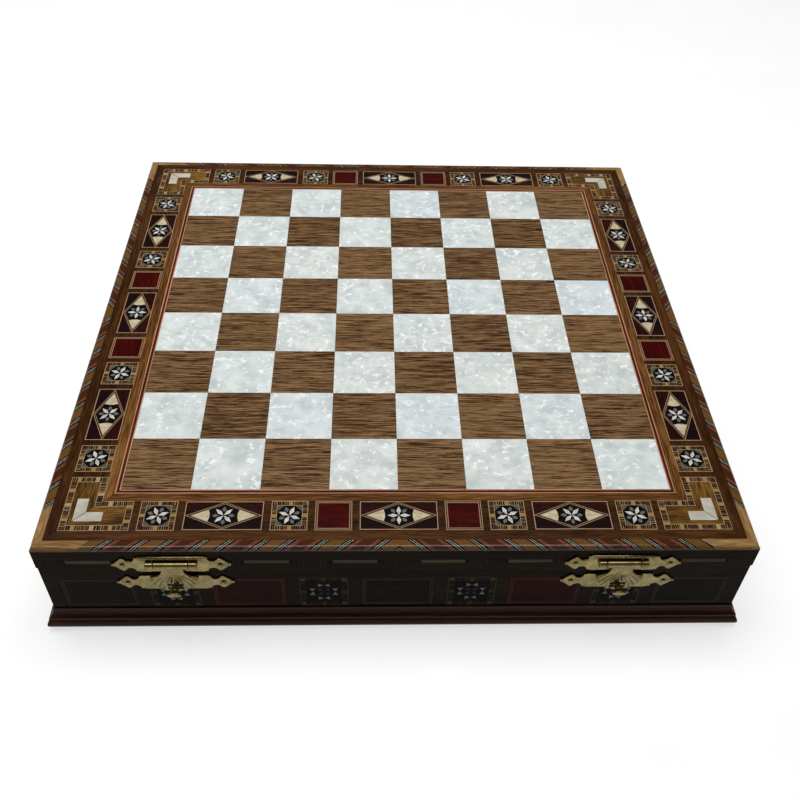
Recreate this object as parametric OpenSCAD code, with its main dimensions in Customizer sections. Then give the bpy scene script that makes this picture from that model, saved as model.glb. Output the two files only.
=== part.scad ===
// Chess set: a storage box whose hinged lid is an inlaid chess board, with its 32 chessmen inside.
// Origin: centre of the footprint, on the surface that the box stands on. +Z is up, -Y is the front.

/* [Playing field] */
// Side of one square of the board
square_w = 40; // [33:0.5:48]
// Width of the light line on each side of the red line
light_line_w = 0.7; // [0.4:0.1:1.2]
// Width of the red line round the field
red_line_w = 1.6; // [1:0.1:3]

/* [Border of the board] */
// Walnut strip inside the band of tiles
inner_strip_w = 5.5; // [3:0.5:8]
// Width of the band of tiles, and side of its square star tiles
band_w = 21; // [17:0.5:26]
// Walnut strip between two tiles
tile_gap_w = 4; // [2:0.5:6]
// Length of a red tile
red_tile_l = 21; // [16:0.5:26]
// Length of a corner tile's legs
corner_leg = 39; // [32:0.5:46]
// Walnut strip outside the band of tiles
outer_strip_w = 6.5; // [4:0.5:9]
// Width of the rope banding along the edge
rope_w = 6; // [4:0.5:8]
// Rounding of the banding's outer top edge
rope_round = 2.2; // [1:0.1:2.4]
// Length of the plain block at the banding's corners, along the outer edge
rope_corner_l = 25; // [16:1:32]
// How much shorter that block is along its inner edge, less the mitre
rope_slant = 7; // [3:0.5:10]

/* [Lid] */
// Height of the lid from its lower edge to the playing surface
lid_h = 17.35; // [14:0.05:24]
// Thickness of the marquetry layer
inlay_t = 2.5; // [2:0.1:3]
// Thickness of the board under the marquetry
lid_panel_t = 6; // [4:0.5:8]
// Thickness of the lid's rails
rail_w = 12; // [10:0.5:16]
// Lower edge of the line of inlay on the lid's sides, above the lid's lower edge
edge_inlay_z = 3.65; // [2:0.05:6]
// Height of that line of inlay
edge_inlay_h = 2.9; // [2:0.1:4]
// Thickness of that line of inlay
edge_inlay_t = 1.2; // [0.8:0.1:2]
// Length of its light bars
edge_bar_l = 25; // [15:0.5:30]
// Distance from one light bar to the next
edge_pitch = 49.3; // [40:0.1:60]

/* [Box] */
// Height of the box's upper edge above the table
box_h = 56.35; // [46:0.05:80]
// Gap between the box and the closed lid
parting_gap = 0.3; // [0.2:0.05:0.6]
// How far the box's sides stand in from the lid's
box_inset = 0.5; // [0.5:0.1:1.5]
// Thickness of the box's side boards
board_w = 12; // [10:0.5:16]
// Height of the base moulding
moulding_h = 16; // [14:0.5:20]
// How far the base moulding's bead stands out from the lid's sides
moulding_out = 4.8; // [3.5:0.1:7.5]
// Thickness of the bottom panel
bottom_t = 6; // [4:0.5:7]
// Width of the rebate that holds the bottom panel
rebate_w = 8; // [4:0.5:10]

/* [Frieze on the sides] */
// Height of the tiles and panels
frieze_h = 28.5; // [20:0.5:29]
// Height of their lower edge above the base moulding
frieze_z = 1; // [0.5:0.1:2]
// Thickness of the tiles and panels
frieze_t = 1.5; // [1:0.1:2.5]
// Width of a star tile
side_star_w = 28; // [20:0.5:32]
// Distance between two pieces of the frieze
frieze_gap = 7.25; // [4:0.25:10]
// Distance from the last panel to the box's corner
frieze_margin = 8; // [5:0.5:12]

/* [Tray] */
// Thickness of the velvet lining
lining_t = 1; // [0.6:0.1:2]
// Thickness of the dividers
divider_t = 3; // [2:0.5:4]
// How far the dividers' upper edges lie below the box's
divider_drop = 9; // [6:0.5:12]
// Free length beyond the two ends of a lying king
end_room = 12; // [4:1:20]

/* [Hasps] */
// Distance from a hasp's middle to the box's side
hasp_inset = 75.5; // [60:0.5:90]
// Thickness of the hasp's plates
plate_t = 1.2; // [0.8:0.1:1.6]
// Height of the hasp's plates
plate_h = 13; // [11:0.5:15]
// Half the length of a plate's straight middle
plate_half = 18.5; // [17:0.5:22]
// Distance from a plate's middle to the pins in its ends
plate_pin_x = 27; // [25:0.5:30]
// Middle of the upper plate above the lid's lower edge
upper_plate_z = 4.15; // [3:0.05:6]
// Middle of the lower plate below the box's upper edge
lower_plate_z = 13.15; // [11:0.05:16]
// Hinge line of the flap above the lid's lower edge
barrel_z = 5.35; // [4:0.05:7]
// Radius of the flap's barrel
barrel_r = 2.2; // [1.8:0.1:2.6]
// Length of the flap's own part of the barrel
barrel_l = 19; // [14:0.5:22]
// Length of each of the plate's two knuckles beside it
plate_knuckle_l = 4.3; // [3:0.1:6]
// Radius of the rod in the barrel
rod_r = 0.9; // [0.6:0.05:1.1]
// Width of the flap's neck
neck_w = 12.5; // [10:0.5:16]
// Height of the shell's flat top above the knob's axis
shell_rise = 8.3; // [6:0.1:8.6]
// Radius of the flap's shell
shell_r = 14; // [12:0.5:16]
// Thickness of the flap
flap_t = 1.8; // [1.4:0.1:2]
// Width of the slot that the knob's head passes
slot_w = 9; // [8.5:0.1:11]
// Height of that slot
slot_h = 4.8; // [4.6:0.1:6]

/* [Turn knobs] */
// Axis of the knob below the box's upper edge
knob_z = 13.85; // [12:0.05:17]
// Radius of the knob's shaft
knob_shaft_r = 1.5; // [1.1:0.1:1.6]
// Width of the knob's head across its wings
knob_w = 8; // [6:0.1:8]
// Thickness of the knob's head
knob_t = 3; // [2:0.1:3.2]
// Length of the knob's head along its axis
knob_l = 5; // [3:0.1:6]
// Free space between the flap and the knob's head
knob_free = 1.2; // [0.6:0.1:3]

/* [Hinges] */
// Distance from a hinge's middle to the box's side
hinge_inset = 82; // [60:1:110]
// Length of a hinge
hinge_l = 36; // [24:1:50]
// Thickness of a hinge leaf
leaf_t = 1; // [0.8:0.1:1.5]
// Wood left between a leaf and the inside of the box
leaf_margin = 1; // [0.5:0.1:3]
// Radius of the hinge's knuckles
knuckle_r = 2.2; // [1.8:0.1:3]
// Radius of the hinge pin
hinge_pin_r = 1; // [0.7:0.1:1.3]
// Distance from a hinge's middle to its outer screws
hinge_screw_x = 12; // [8:0.5:14]

/* [Chessmen, for a 40 mm square] */
// Height of a king
king_h = 76; // [66:1:92]
// Radius of a king's base
king_r = 15.5; // [13:0.25:18.5]
// Height of a queen
queen_h = 68; // [58:1:80]
// Radius of a queen's base
queen_r = 14.5; // [12:0.25:17]
// Height of a bishop
bishop_h = 60; // [52:1:72]
// Height of a knight
knight_h = 55; // [48:1:64]
// Height of a rook
rook_h = 47; // [41:1:56]
// Radius of the base of a bishop, knight or rook
minor_r = 13.5; // [11.5:0.25:16]
// Height of a pawn
pawn_h = 43; // [37:1:51]
// Radius of a pawn's base
pawn_r = 12; // [10:0.25:14]

/* [Clearances] */
// Glue line between two pieces of wood
glue = 0.1; // [0.05:0.05:0.15]
// Gap round a shaft that turns
turn_gap = 0.05; // [0.03:0.01:0.08]
// Gap between parts that move past each other
move_gap = 0.3; // [0.2:0.05:0.5]
// Gap between a lying chessman and the lining
lie_gap = 0.2; // [0.1:0.05:0.3]

/* [Hidden] */
$fn = 64;
cut = 20;                                       // length by which a cutting shape runs past the wood
files = 8;                                      // squares along one side of the board
men_scale = square_w / 40;

// Distances from the middle of the board to the edges of its rings, in order outwards
field_half = files / 2 * square_w;
line_in = field_half + light_line_w;
line_out = line_in + red_line_w;
strip_in = line_out + light_line_w;
band_in = strip_in + inner_strip_w;
band_out = band_in + band_w;
strip_out = band_out + outer_strip_w;
lid_half = strip_out + rope_w;
box_half = lid_half - box_inset;

// Length of a diamond tile: what the fixed tiles and strips leave of one side's band
diamond_l = (band_out - corner_leg - red_tile_l - 2 * band_w - 5 * tile_gap_w) / 1.5;

// Heights above the table
lid_z = box_h + parting_gap;
top_z = lid_z + lid_h;
inlay_z = top_z - inlay_t;
floor_z = bottom_t + lining_t;
divider_z = box_h - divider_drop;
hinge_z = box_h + parting_gap / 2;

// Hasp and hinge places
barrel_free = 0.2;                              // free space between the barrel and the lid's front
hasp_x = lid_half - hasp_inset;
barrel_y = -(lid_half + max(barrel_r + barrel_free, plate_t + move_gap + flap_t / 2));
flap_y = barrel_y + flap_t / 2;                 // back of the flap
shell_z = parting_gap + knob_z + barrel_z - shell_rise;
slot_below = 0.5;                               // middle of the flap's slot below the knob's axis
flap_front_y = flap_y - flap_t;
knob_y = flap_front_y - knob_free;              // back of the knob's head
flange_r = 2.4;                                 // the knob's riveted end
flange_t = 1;
pin_shank_r = 0.7;
pin_l = 8;
hinge_x = lid_half - hinge_inset;
hinge_y = lid_half + knuckle_r + move_gap;
leaf_in = max(lid_half - rail_w, box_half - board_w) + leaf_margin;
screw_r = 1.1;
screw_l = 8;

// Inside of the tray
tray_half = box_half - board_w - lining_t;
rail_in = lid_half - rail_w;
rim = 2;                                        // rounding of a chessman's base
ring_rim = 1.3;                                 // rounding of the ring above it
foot_h = 2 * rim + 2 * ring_rim;

// Angle at which a chessman lies on its base's rounding and on a circle of its head: radius rho_h,
// height z_h, rounded by r_h
function lie_angle(rho_b, rho_h, z_h, r_h) =
    atan2(rho_b - rho_h, z_h - rim) + asin((rim - r_h) / norm([rho_b - rho_h, z_h - rim]));

// Parts of the chessmen's heads; a share is of the piece's height
collar_share = 0.62;                            // collar of the king, queen and rook
low_collar_share = 0.6;                         // collar of the bishop and pawn
cup_r = 8.4;                                    // rim of the king's cup, on which it lies
cup_share = 0.83;
crown_r = 8.6;                                  // rim of the queen's crown, on which it lies
crown_share = 0.9;
head_arc = 12.2;                                // arc of the bishop's head, about a point beyond its axis
head_in = 6;
head_share = 0.76;
horse_t = 10;                                   // thickness of the knight's head
tower_r = 9.4;                                  // radius of the rook's battlement
ball_r = 6.4;                                   // radius of the pawn's head

king_angle = lie_angle(king_r - rim, cup_r, king_h * cup_share, 0);
king_lying_l = (king_h * cos(king_angle) + 2 * king_r * sin(king_angle)) * men_scale;
major_cell_l = king_lying_l + end_room;
major_y = tray_half - major_cell_l - divider_t / 2;
cell_pitch = 2 * tray_half / files;

// Frames of mitred strips

// Plan of the strip along the front of a square frame, with both ends cut at 45 degrees
module strip_plan(r_in, r_out) {
    g = glue / sqrt(2);
    polygon([
        [-(r_out - g), -r_out], [r_out - g, -r_out],
        [r_in - g, -r_in], [-(r_in - g), -r_in]
    ]);
}

module mitred_strip(r_in, r_out, z, h) {
    translate([0, 0, z])
        linear_extrude(h)
            strip_plan(r_in, r_out);
}

module four_sides() {
    for (turn = [0:90:270])
        rotate([0, 0, turn]) children();
}

module mitred_frame(r_in, r_out, z, h) {
    four_sides() mitred_strip(r_in, r_out, z, h);
}

// A profile of [distance from the middle, height], drawn out along the front and mitred
module mitred_profile(r_in, r_out, h) {
    intersection() {
        rotate([90, 0, -90])
            linear_extrude(2 * r_out + cut, center = true) children();
        linear_extrude(h) strip_plan(r_in, r_out);
    }
}

// A block let into the front face at distance r from the middle
module face_block(x, z, w, h, r, t) {
    translate([x - w / 2, -r, z]) cube([w, t, h]);
}

// Hasps

// Outline of a plate: straight middle, a round bite at each shoulder and a pointed finial
module plate_outline() {
    shoulder = 4.3;
    bite_r = 2.6;
    neck = 3.5;
    bulb = 5.7;
    waist_x = 3.4;
    waist = 2.3;
    tip_x = 5.1;
    tip_r = 1.15;
    for (side = [0, 1])
        mirror([side, 0]) {
            difference() {
                polygon([
                    [0, -plate_h / 2], [plate_half, -plate_h / 2],
                    [plate_half + shoulder, -neck], [plate_pin_x, -bulb],
                    [plate_pin_x + waist_x, -waist],
                    [plate_pin_x + tip_x, -tip_r], [plate_pin_x + tip_x, tip_r],
                    [plate_pin_x + waist_x, waist],
                    [plate_pin_x, bulb], [plate_half + shoulder, neck],
                    [plate_half, plate_h / 2], [0, plate_h / 2]
                ]);
                for (up = [-1, 1])
                    translate([plate_half + shoulder, up * (neck + bite_r * 0.8)]) circle(bite_r);
            }
            translate([plate_pin_x + tip_x, 0]) circle(tip_r);
        }
}

// Stands a flat outline up against the front, its back at distance r from the middle
module on_front(x, z, r, t) {
    translate([x, -r, z])
        rotate([90, 0, 0])
            linear_extrude(t) children();
}

module pin_holes(x, z, r) {
    for (side = [-1, 1])
        translate([x + side * plate_pin_x, -r + pin_l, z])
            rotate([90, 0, 0]) cylinder(r = pin_shank_r + turn_gap, h = pin_l + cut);
}

// The pins' heads stand on a plate whose free face is at distance r from the middle
module plate_pins(x, z, r) {
    head_r = 1.5;
    head_t = 0.5;
    for (side = [-1, 1])
        translate([x + side * plate_pin_x, -r, z])
            rotate([90, 0, 0]) {
                translate([0, 0, turn_gap]) cylinder(r = head_r, h = head_t);
                translate([0, 0, turn_gap + head_t])
                    cylinder(r1 = head_r, r2 = head_r - head_t, h = head_t);
                translate([0, 0, -pin_l]) cylinder(r = pin_shank_r, h = pin_l + head_t);
            }
}

module upper_pin_holes() {
    for (side = [-1, 1])
        pin_holes(side * hasp_x, lid_z + upper_plate_z, lid_half);
}

// Pin holes and the seats of the knobs' riveted ends, in the box's front
module lower_holes() {
    for (side = [-1, 1]) {
        pin_holes(side * hasp_x, box_h - lower_plate_z, box_half);
        translate([side * hasp_x, -box_half + flange_t + 3 * turn_gap, box_h - knob_z])
            rotate([90, 0, 0]) cylinder(r = flange_r + move_gap, h = cut);
    }
}

// The two knuckles of the plate stand beside a window for the flap's own knuckle
module upper_plate(side) {
    knuckle_x = barrel_l / 2 + move_gap;
    color("goldenrod") difference() {
        union() {
            on_front(side * hasp_x, lid_z + upper_plate_z, lid_half, plate_t) plate_outline();
            for (end = [-1, 1])
                translate([side * hasp_x, barrel_y, lid_z + barrel_z])
                    translate([end * (knuckle_x + plate_knuckle_l / 2), 0, 0])
                        rotate([0, 90, 0]) cylinder(r = barrel_r, h = plate_knuckle_l, center = true);
        }
        face_block(side * hasp_x, lid_z + barrel_z - barrel_r - move_gap, 2 * knuckle_x,
            2 * (barrel_r + move_gap), lid_half + cut / 2, cut);
        translate([side * hasp_x, barrel_y, lid_z + barrel_z])
            rotate([0, 90, 0]) cylinder(r = rod_r + turn_gap, h = plate_half * 2, center = true);
        pin_holes(side * hasp_x, lid_z + upper_plate_z, lid_half);
    }
}

module lower_plate(side) {
    color("goldenrod") difference() {
        on_front(side * hasp_x, box_h - lower_plate_z, box_half, plate_t) plate_outline();
        pin_holes(side * hasp_x, box_h - lower_plate_z, box_half);
        translate([side * hasp_x, -box_half, box_h - knob_z])
            rotate([90, 0, 0]) cylinder(r = knob_shaft_r + turn_gap, h = cut, center = true);
    }
}

// Neck and half-round shell of the flap, measured from its hinge line
module flap_outline() {
    fillet = 4;
    difference() {
        union() {
            translate([-neck_w / 2, -shell_z - 1])
                square([neck_w, shell_z + 1 - rod_r - 3 * turn_gap]);
            difference() {
                translate([0, -shell_z]) circle(shell_r);
                translate([-shell_r - 1, -shell_z]) square([2 * shell_r + 2, shell_r + 1]);
            }
            difference() {
                translate([-neck_w / 2 - fillet, -shell_z - 0.5])
                    square([neck_w + 2 * fillet, fillet + 0.5]);
                for (end = [-1, 1])
                    translate([end * (neck_w / 2 + fillet), -shell_z + fillet]) circle(fillet);
            }
        }
        translate([-slot_w / 2, -shell_z - shell_rise - slot_below - slot_h / 2])
            square([slot_w, slot_h]);
    }
}

module flap(side) {
    color("gold") {
        difference() {
            union() {
                on_front(side * hasp_x, lid_z + barrel_z, -flap_y, flap_t) flap_outline();
                translate([side * hasp_x, barrel_y, lid_z + barrel_z])
                    rotate([0, 90, 0]) cylinder(r = barrel_r, h = barrel_l, center = true);
            }
            translate([side * hasp_x, barrel_y, lid_z + barrel_z])
                rotate([0, 90, 0]) cylinder(r = rod_r + turn_gap, h = barrel_l + 2, center = true);
        }
    }
}

// Rods through the barrels, standing out a little at both ends
module hasp_rods() {
    stand_out = 0.3;
    color("gold")
        for (side = [-1, 1])
            translate([side * hasp_x, barrel_y, lid_z + barrel_z])
                rotate([0, 90, 0])
                    cylinder(r = rod_r, h = barrel_l + 2 * (move_gap + plate_knuckle_l + stand_out),
                        center = true);
}

// Shaft, riveted end and winged head, turning about a line along Y
module turn_knob(side) {
    waist = 2.4;
    color("darkgoldenrod")
        translate([side * hasp_x, 0, box_h - knob_z]) {
            translate([0, -box_half + flange_t, 0])
                rotate([90, 0, 0]) cylinder(r = flange_r, h = flange_t - turn_gap);
            translate([0, -box_half + flange_t, 0])
                rotate([90, 0, 0])
                    cylinder(r = knob_shaft_r, h = -knob_y - box_half + flange_t + knob_l / 2);
            translate([0, 0, -knob_t / 2])
                linear_extrude(knob_t)
                    difference() {
                        polygon([
                            [-waist, knob_y], [waist, knob_y],
                            [knob_w / 2, knob_y - knob_l], [-knob_w / 2, knob_y - knob_l]
                        ]);
                        translate([0, knob_y - knob_l - knob_w * 0.9]) circle(knob_w);
                    }
        }
}

// Hinges at the back

module screw(r_extra) {
    head_r = 2.1;
    head_h = 0.9;
    translate([0, 0, -screw_l]) cylinder(r = screw_r + r_extra, h = screw_l);
    translate([0, 0, -head_h]) cylinder(r1 = screw_r + r_extra, r2 = head_r + r_extra, h = head_h);
}

// Screws with their heads in the plane of a leaf's free face; up is 1 for the lid's, -1 for the box's
module hinge_screws(up, r_extra) {
    face_z = up > 0 ? lid_z : box_h;
    for (side = [-1, 1], place = [-1, 0, 1])
        translate([side * hinge_x + place * hinge_screw_x, (leaf_in + lid_half) / 2, face_z])
            rotate([up > 0 ? 180 : 0, 0, 0]) screw(r_extra);
}

module slotted_screws(up) {
    slot = 0.5;
    face_z = up > 0 ? lid_z : box_h;
    color("goldenrod") difference() {
        hinge_screws(up, 0);
        for (side = [-1, 1])
            translate([side * hinge_x, (leaf_in + lid_half) / 2, face_z])
                cube([hinge_l, slot, 2 * slot], center = true);
    }
}

// Bed of the leaves in the wood
module leaf_beds(up) {
    low = up > 0 ? lid_z - 1 : box_h - leaf_t - glue;
    for (side = [-1, 1])
        translate([side * hinge_x - hinge_l / 2 - glue, leaf_in - glue, low])
            cube([hinge_l + 2 * glue, rail_w + cut, leaf_t + 1 + glue]);
    hinge_screws(up, turn_gap);
}

// The box's leaf carries the two outer knuckles, the lid's leaf the middle one
module hinge_leaves(up) {
    third = hinge_l / 3;
    low = up > 0 ? lid_z : box_h - leaf_t;
    own = up > 0 ? [0] : [-1, 1];
    other = up > 0 ? [-1, 1] : [0];
    color("goldenrod") difference() {
        for (side = [-1, 1]) {
            translate([side * hinge_x - hinge_l / 2, leaf_in, low])
                cube([hinge_l, hinge_y - leaf_in, leaf_t]);
            for (k = own)
                translate([side * hinge_x + k * third, hinge_y, hinge_z])
                    rotate([0, 90, 0]) cylinder(r = knuckle_r, h = third - move_gap, center = true);
        }
        for (side = [-1, 1], k = other)
            translate([side * hinge_x + k * third, hinge_y, hinge_z])
                cube([third + move_gap, 2 * (knuckle_r + move_gap), 4 * knuckle_r], center = true);
        for (side = [-1, 1])
            translate([side * hinge_x, hinge_y, hinge_z])
                rotate([0, 90, 0]) cylinder(r = hinge_pin_r + turn_gap, h = hinge_l + cut, center = true);
        hinge_screws(up, turn_gap);
    }
}

module hinge_pins() {
    color("gold")
        for (side = [-1, 1])
            translate([side * hinge_x, hinge_y, hinge_z])
                rotate([0, 90, 0]) cylinder(r = hinge_pin_r, h = hinge_l + 1, center = true);
}

// Box

module bottom_panel() {
    half = box_half - board_w + rebate_w - glue;
    color("peru")
        translate([-half, -half, 0]) cube([2 * half, 2 * half, bottom_t - glue]);
}

// Places of the frieze's pieces along a side: [middle, width]
panel_l = (box_half - frieze_margin - 2 * side_star_w - 4 * frieze_gap) / 2.5;
star_x = panel_l / 2 + frieze_gap + side_star_w / 2;
red_x = star_x + side_star_w / 2 + frieze_gap + panel_l / 2;
star_2_x = red_x + panel_l / 2 + frieze_gap + side_star_w / 2;
dark_x = star_2_x + side_star_w / 2 + frieze_gap + panel_l / 2;

module frieze_block(x, w) {
    face_block(x, moulding_h + frieze_z, w - glue, frieze_h - glue, box_half, frieze_t);
}

module frieze_beds() {
    places = [[0, panel_l], [star_x, side_star_w], [red_x, panel_l],
        [star_2_x, side_star_w], [dark_x, panel_l]];
    for (place = places, side = [-1, 1])
        face_block(side * place[0], moulding_h + frieze_z - glue / 2, place[1],
            frieze_h, box_half + 1, frieze_t + 1 + glue / 2);
}

module side_board() {
    color("sienna") difference() {
        mitred_strip(box_half - board_w, box_half, moulding_h, box_h - moulding_h);
        frieze_beds();
    }
}

module front_board() {
    color("sienna") difference() {
        side_board();
        lower_holes();
    }
}

module back_board() {
    color("sienna") difference() {
        rotate([0, 0, 180]) side_board();
        leaf_beds(-1);
    }
}

module frieze_pieces(xs, w) {
    difference() {
        four_sides()
            for (x = xs) frieze_block(x, w);
        lower_holes();
    }
}

// Profile of the base: a cove over a round bead, on a rebate for the bottom panel
module moulding_profile() {
    bead_r = 4.3;
    bead_z = 4.7;
    cove_r = 6;
    ledge = 0.8;
    bead_step = 1.6;
    edge = lid_half + moulding_out;
    inside = box_half - board_w;
    difference() {
        union() {
            translate([inside, 0]) square([box_half + ledge - inside, moulding_h]);
            translate([inside, 0]) square([edge - 3.5 - inside, bead_z]);
            translate([edge - bead_r, bead_z]) circle(bead_r);
            difference() {
                translate([box_half, bead_z]) square([edge - bead_step - box_half, moulding_h - 1 - bead_z]);
                translate([box_half + ledge + cove_r, moulding_h - 1]) circle(cove_r);
            }
        }
        translate([inside - 1, -1]) square([rebate_w + 1, bottom_t + 1]);
    }
}

module base_moulding() {
    color("saddlebrown")
        four_sides()
            mitred_profile(box_half - board_w, lid_half + moulding_out, moulding_h) moulding_profile();
}

// Tray

module tray_lining() {
    half = box_half - board_w - glue;
    color("maroon") {
        translate([-half, -half, bottom_t]) cube([2 * half, 2 * half, lining_t]);
        mitred_frame(tray_half, half, floor_z + glue, box_h - floor_z - 2 * glue);
    }
}

divider_h = divider_z - floor_z - glue;

module long_divider_at(y) {
    slot = divider_t + 2 * glue;
    half = tray_half - glue;
    difference() {
        translate([-half, y - divider_t / 2, floor_z + glue]) cube([2 * half, divider_t, divider_h]);
        for (i = [1:files - 1])
            translate([-tray_half + i * cell_pitch - slot / 2, y - divider_t, floor_z + divider_h / 2])
                cube([slot, 2 * divider_t, divider_h]);
    }
}

module long_dividers() {
    color("brown")
        for (y = [-major_y, 0, major_y]) long_divider_at(y);
}

module cross_dividers() {
    slot = divider_t + 2 * glue;
    half = tray_half - glue;
    color("firebrick") difference() {
        for (i = [1:files - 1])
            translate([-tray_half + i * cell_pitch - divider_t / 2, -half, floor_z + glue])
                cube([divider_t, 2 * half, divider_h]);
        for (y = [-major_y, 0, major_y])
            translate([-tray_half, y - slot / 2, floor_z - divider_h / 2])
                cube([2 * tray_half, slot, divider_h + glue]);
    }
}

// Lid

module lid_panel() {
    half = rail_in - glue;
    color("tan")
        translate([-half, -half, inlay_z - lid_panel_t]) cube([2 * half, 2 * half, lid_panel_t]);
}

module lid_rail() {
    color("sienna") difference() {
        mitred_strip(rail_in, lid_half, lid_z, inlay_z - lid_z);
        face_block(0, lid_z + edge_inlay_z, 2 * lid_half, edge_inlay_h, lid_half + 1, edge_inlay_t + 1);
    }
}

module lid_rail_front() {
    color("sienna") difference() {
        lid_rail();
        upper_pin_holes();
    }
}

module lid_rail_back() {
    color("sienna") difference() {
        rotate([0, 0, 180]) lid_rail();
        leaf_beds(1);
    }
}

// Squares of one colour: parity 0 holds the near left corner
module squares(parity) {
    for (i = [0:files - 1], j = [0:files - 1])
        if ((i + j) % 2 == parity)
            translate([i * square_w - field_half + glue / 2, j * square_w - field_half + glue / 2, inlay_z])
                cube([square_w - glue, square_w - glue, inlay_t]);
}

module ring(r_in, r_out) {
    mitred_frame(r_in + glue / 2, r_out - glue / 2, inlay_z, inlay_t);
}

module light_lines() {
    color("wheat") {
        ring(field_half, line_in);
        ring(line_out, strip_in);
    }
}

module red_lines() {
    color("darkred") ring(line_in, line_out);
}

// Middles of the tiles along half a side
red_tile_x = diamond_l / 2 + tile_gap_w + red_tile_l / 2;
star_tile_x = red_tile_x + red_tile_l / 2 + tile_gap_w + band_w / 2;
diamond_tile_x = star_tile_x + band_w / 2 + tile_gap_w + diamond_l / 2;
star_tile_2_x = diamond_tile_x + diamond_l / 2 + tile_gap_w + band_w / 2;
strip_xs = [
    for (edge = [diamond_l / 2, red_tile_x + red_tile_l / 2, star_tile_x + band_w / 2,
        diamond_tile_x + diamond_l / 2, star_tile_2_x + band_w / 2]) edge + tile_gap_w / 2
];

module band_block(x, w) {
    translate([x - (w - glue) / 2, -band_out + glue / 2, inlay_z])
        cube([w - glue, band_w - glue, inlay_t]);
}

module band_blocks(xs, w) {
    four_sides()
        for (x = xs) band_block(x, w);
}

module border_strips() {
    color("sienna") {
        ring(strip_in, band_in);
        ring(band_out, strip_out);
        band_blocks(concat(strip_xs, -strip_xs), tile_gap_w);
    }
}

module corner_tiles() {
    color("burlywood")
        four_sides()
            translate([-band_out, -band_out, inlay_z])
                linear_extrude(inlay_t)
                    polygon([
                        [glue / 2, glue / 2], [corner_leg - glue / 2, glue / 2],
                        [corner_leg - glue / 2, band_w - glue / 2], [band_w - glue / 2, band_w - glue / 2],
                        [band_w - glue / 2, corner_leg - glue / 2], [glue / 2, corner_leg - glue / 2]
                    ]);
}

// Square bar with its outer top edge rounded, as far as its height allows
module rope_profile() {
    edge_r = min(rope_round, inlay_t - 0.2);
    translate([strip_out + glue / 2, inlay_z]) square([rope_w - edge_r - glue / 2, inlay_t]);
    translate([strip_out + 1, inlay_z]) square([rope_w - 1, inlay_t - edge_r]);
    translate([lid_half - edge_r, top_z - edge_r]) circle(edge_r);
}

module rope_piece(plan) {
    intersection() {
        rotate([90, 0, -90])
            linear_extrude(2 * lid_half, center = true) rope_profile();
        translate([0, 0, inlay_z])
            linear_extrude(inlay_t) polygon(plan);
    }
}

joint_out = lid_half - rope_corner_l;
joint_in = joint_out - rope_slant;

module rope_banding() {
    color("chocolate")
        four_sides()
            for (side = [0, 1])
                mirror([side, 0, 0])
                    rope_piece([
                        [glue / 2, -strip_out], [glue / 2, -lid_half - 1],
                        [joint_out, -lid_half - 1], [joint_in, -strip_out]
                    ]);
}

module rope_corners() {
    color("wheat")
        four_sides()
            for (side = [0, 1])
                mirror([side, 0, 0])
                    rope_piece([
                        [joint_out + glue, -lid_half - 1], [lid_half + 1 - glue, -lid_half - 1],
                        [strip_out - glue, -strip_out], [joint_in + glue, -strip_out]
                    ]);
}

// The line of inlay on the lid's sides: light bars, with ticked sections between them
edge_end = lid_half - edge_inlay_t - glue;

// One piece of that line, cut off where the side ends
module edge_block(x_from, x_to) {
    x_end = min(x_to, edge_end);
    if (x_end > x_from + 1)
        face_block((x_from + x_end) / 2, lid_z + edge_inlay_z + glue / 2, x_end - x_from - glue,
            edge_inlay_h - glue, lid_half, edge_inlay_t - glue / 2);
}

module edge_light_bars() {
    color("wheat") difference() {
        four_sides()
            for (side = [0, 1], x = [edge_pitch / 2:edge_pitch:lid_half])
                mirror([side, 0, 0]) edge_block(x - edge_bar_l / 2, x + edge_bar_l / 2);
        upper_pin_holes();
    }
}

module edge_tick_bars() {
    half = (edge_pitch - edge_bar_l) / 2;
    color("olive") difference() {
        four_sides() {
            edge_block(-half, half);
            for (side = [0, 1], x = [edge_pitch:edge_pitch:lid_half + half])
                mirror([side, 0, 0]) edge_block(x - half, x + half);
        }
        upper_pin_holes();
    }
}

module lid_lining() {
    half = rail_in - glue;
    roof_z = inlay_z - lid_panel_t;
    color("maroon") {
        translate([-half, -half, roof_z - lining_t]) cube([2 * half, 2 * half, lining_t - glue]);
        mitred_frame(half - lining_t, half, lid_z + glue, roof_z - lining_t - lid_z - 2 * glue);
    }
}

// Chessmen

// Plan of a turned piece from its base to its collar: [radius, height]
module turned_profile(base_r, neck_r, neck_z, collar_r) {
    body_r = base_r - 4.2;
    flare = body_r - neck_r;
    rise = neck_z - foot_h;
    cove = (flare * flare + rise * rise) / (2 * flare);
    collar = 1.1;
    square([base_r - rim, 2 * rim]);
    translate([base_r - rim, rim]) circle(rim);
    square([base_r - 2.4 - ring_rim, foot_h]);
    translate([base_r - 2.4 - ring_rim, 2 * rim + ring_rim]) circle(ring_rim);
    difference() {
        translate([0, 1]) square([body_r, neck_z - 1]);
        translate([neck_r + cove, neck_z]) circle(cove, $fn = 4 * $fn);
    }
    translate([0, neck_z]) square([collar_r - collar, 2 * collar]);
    translate([collar_r - collar, neck_z + collar]) circle(collar);
}

module turned(base_r, neck_r, neck_z, collar_r) {
    rotate_extrude() intersection() {
        turned_profile(base_r, neck_r, neck_z, collar_r);
        square([2 * base_r, 3 * neck_z]);
    }
}

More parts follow.
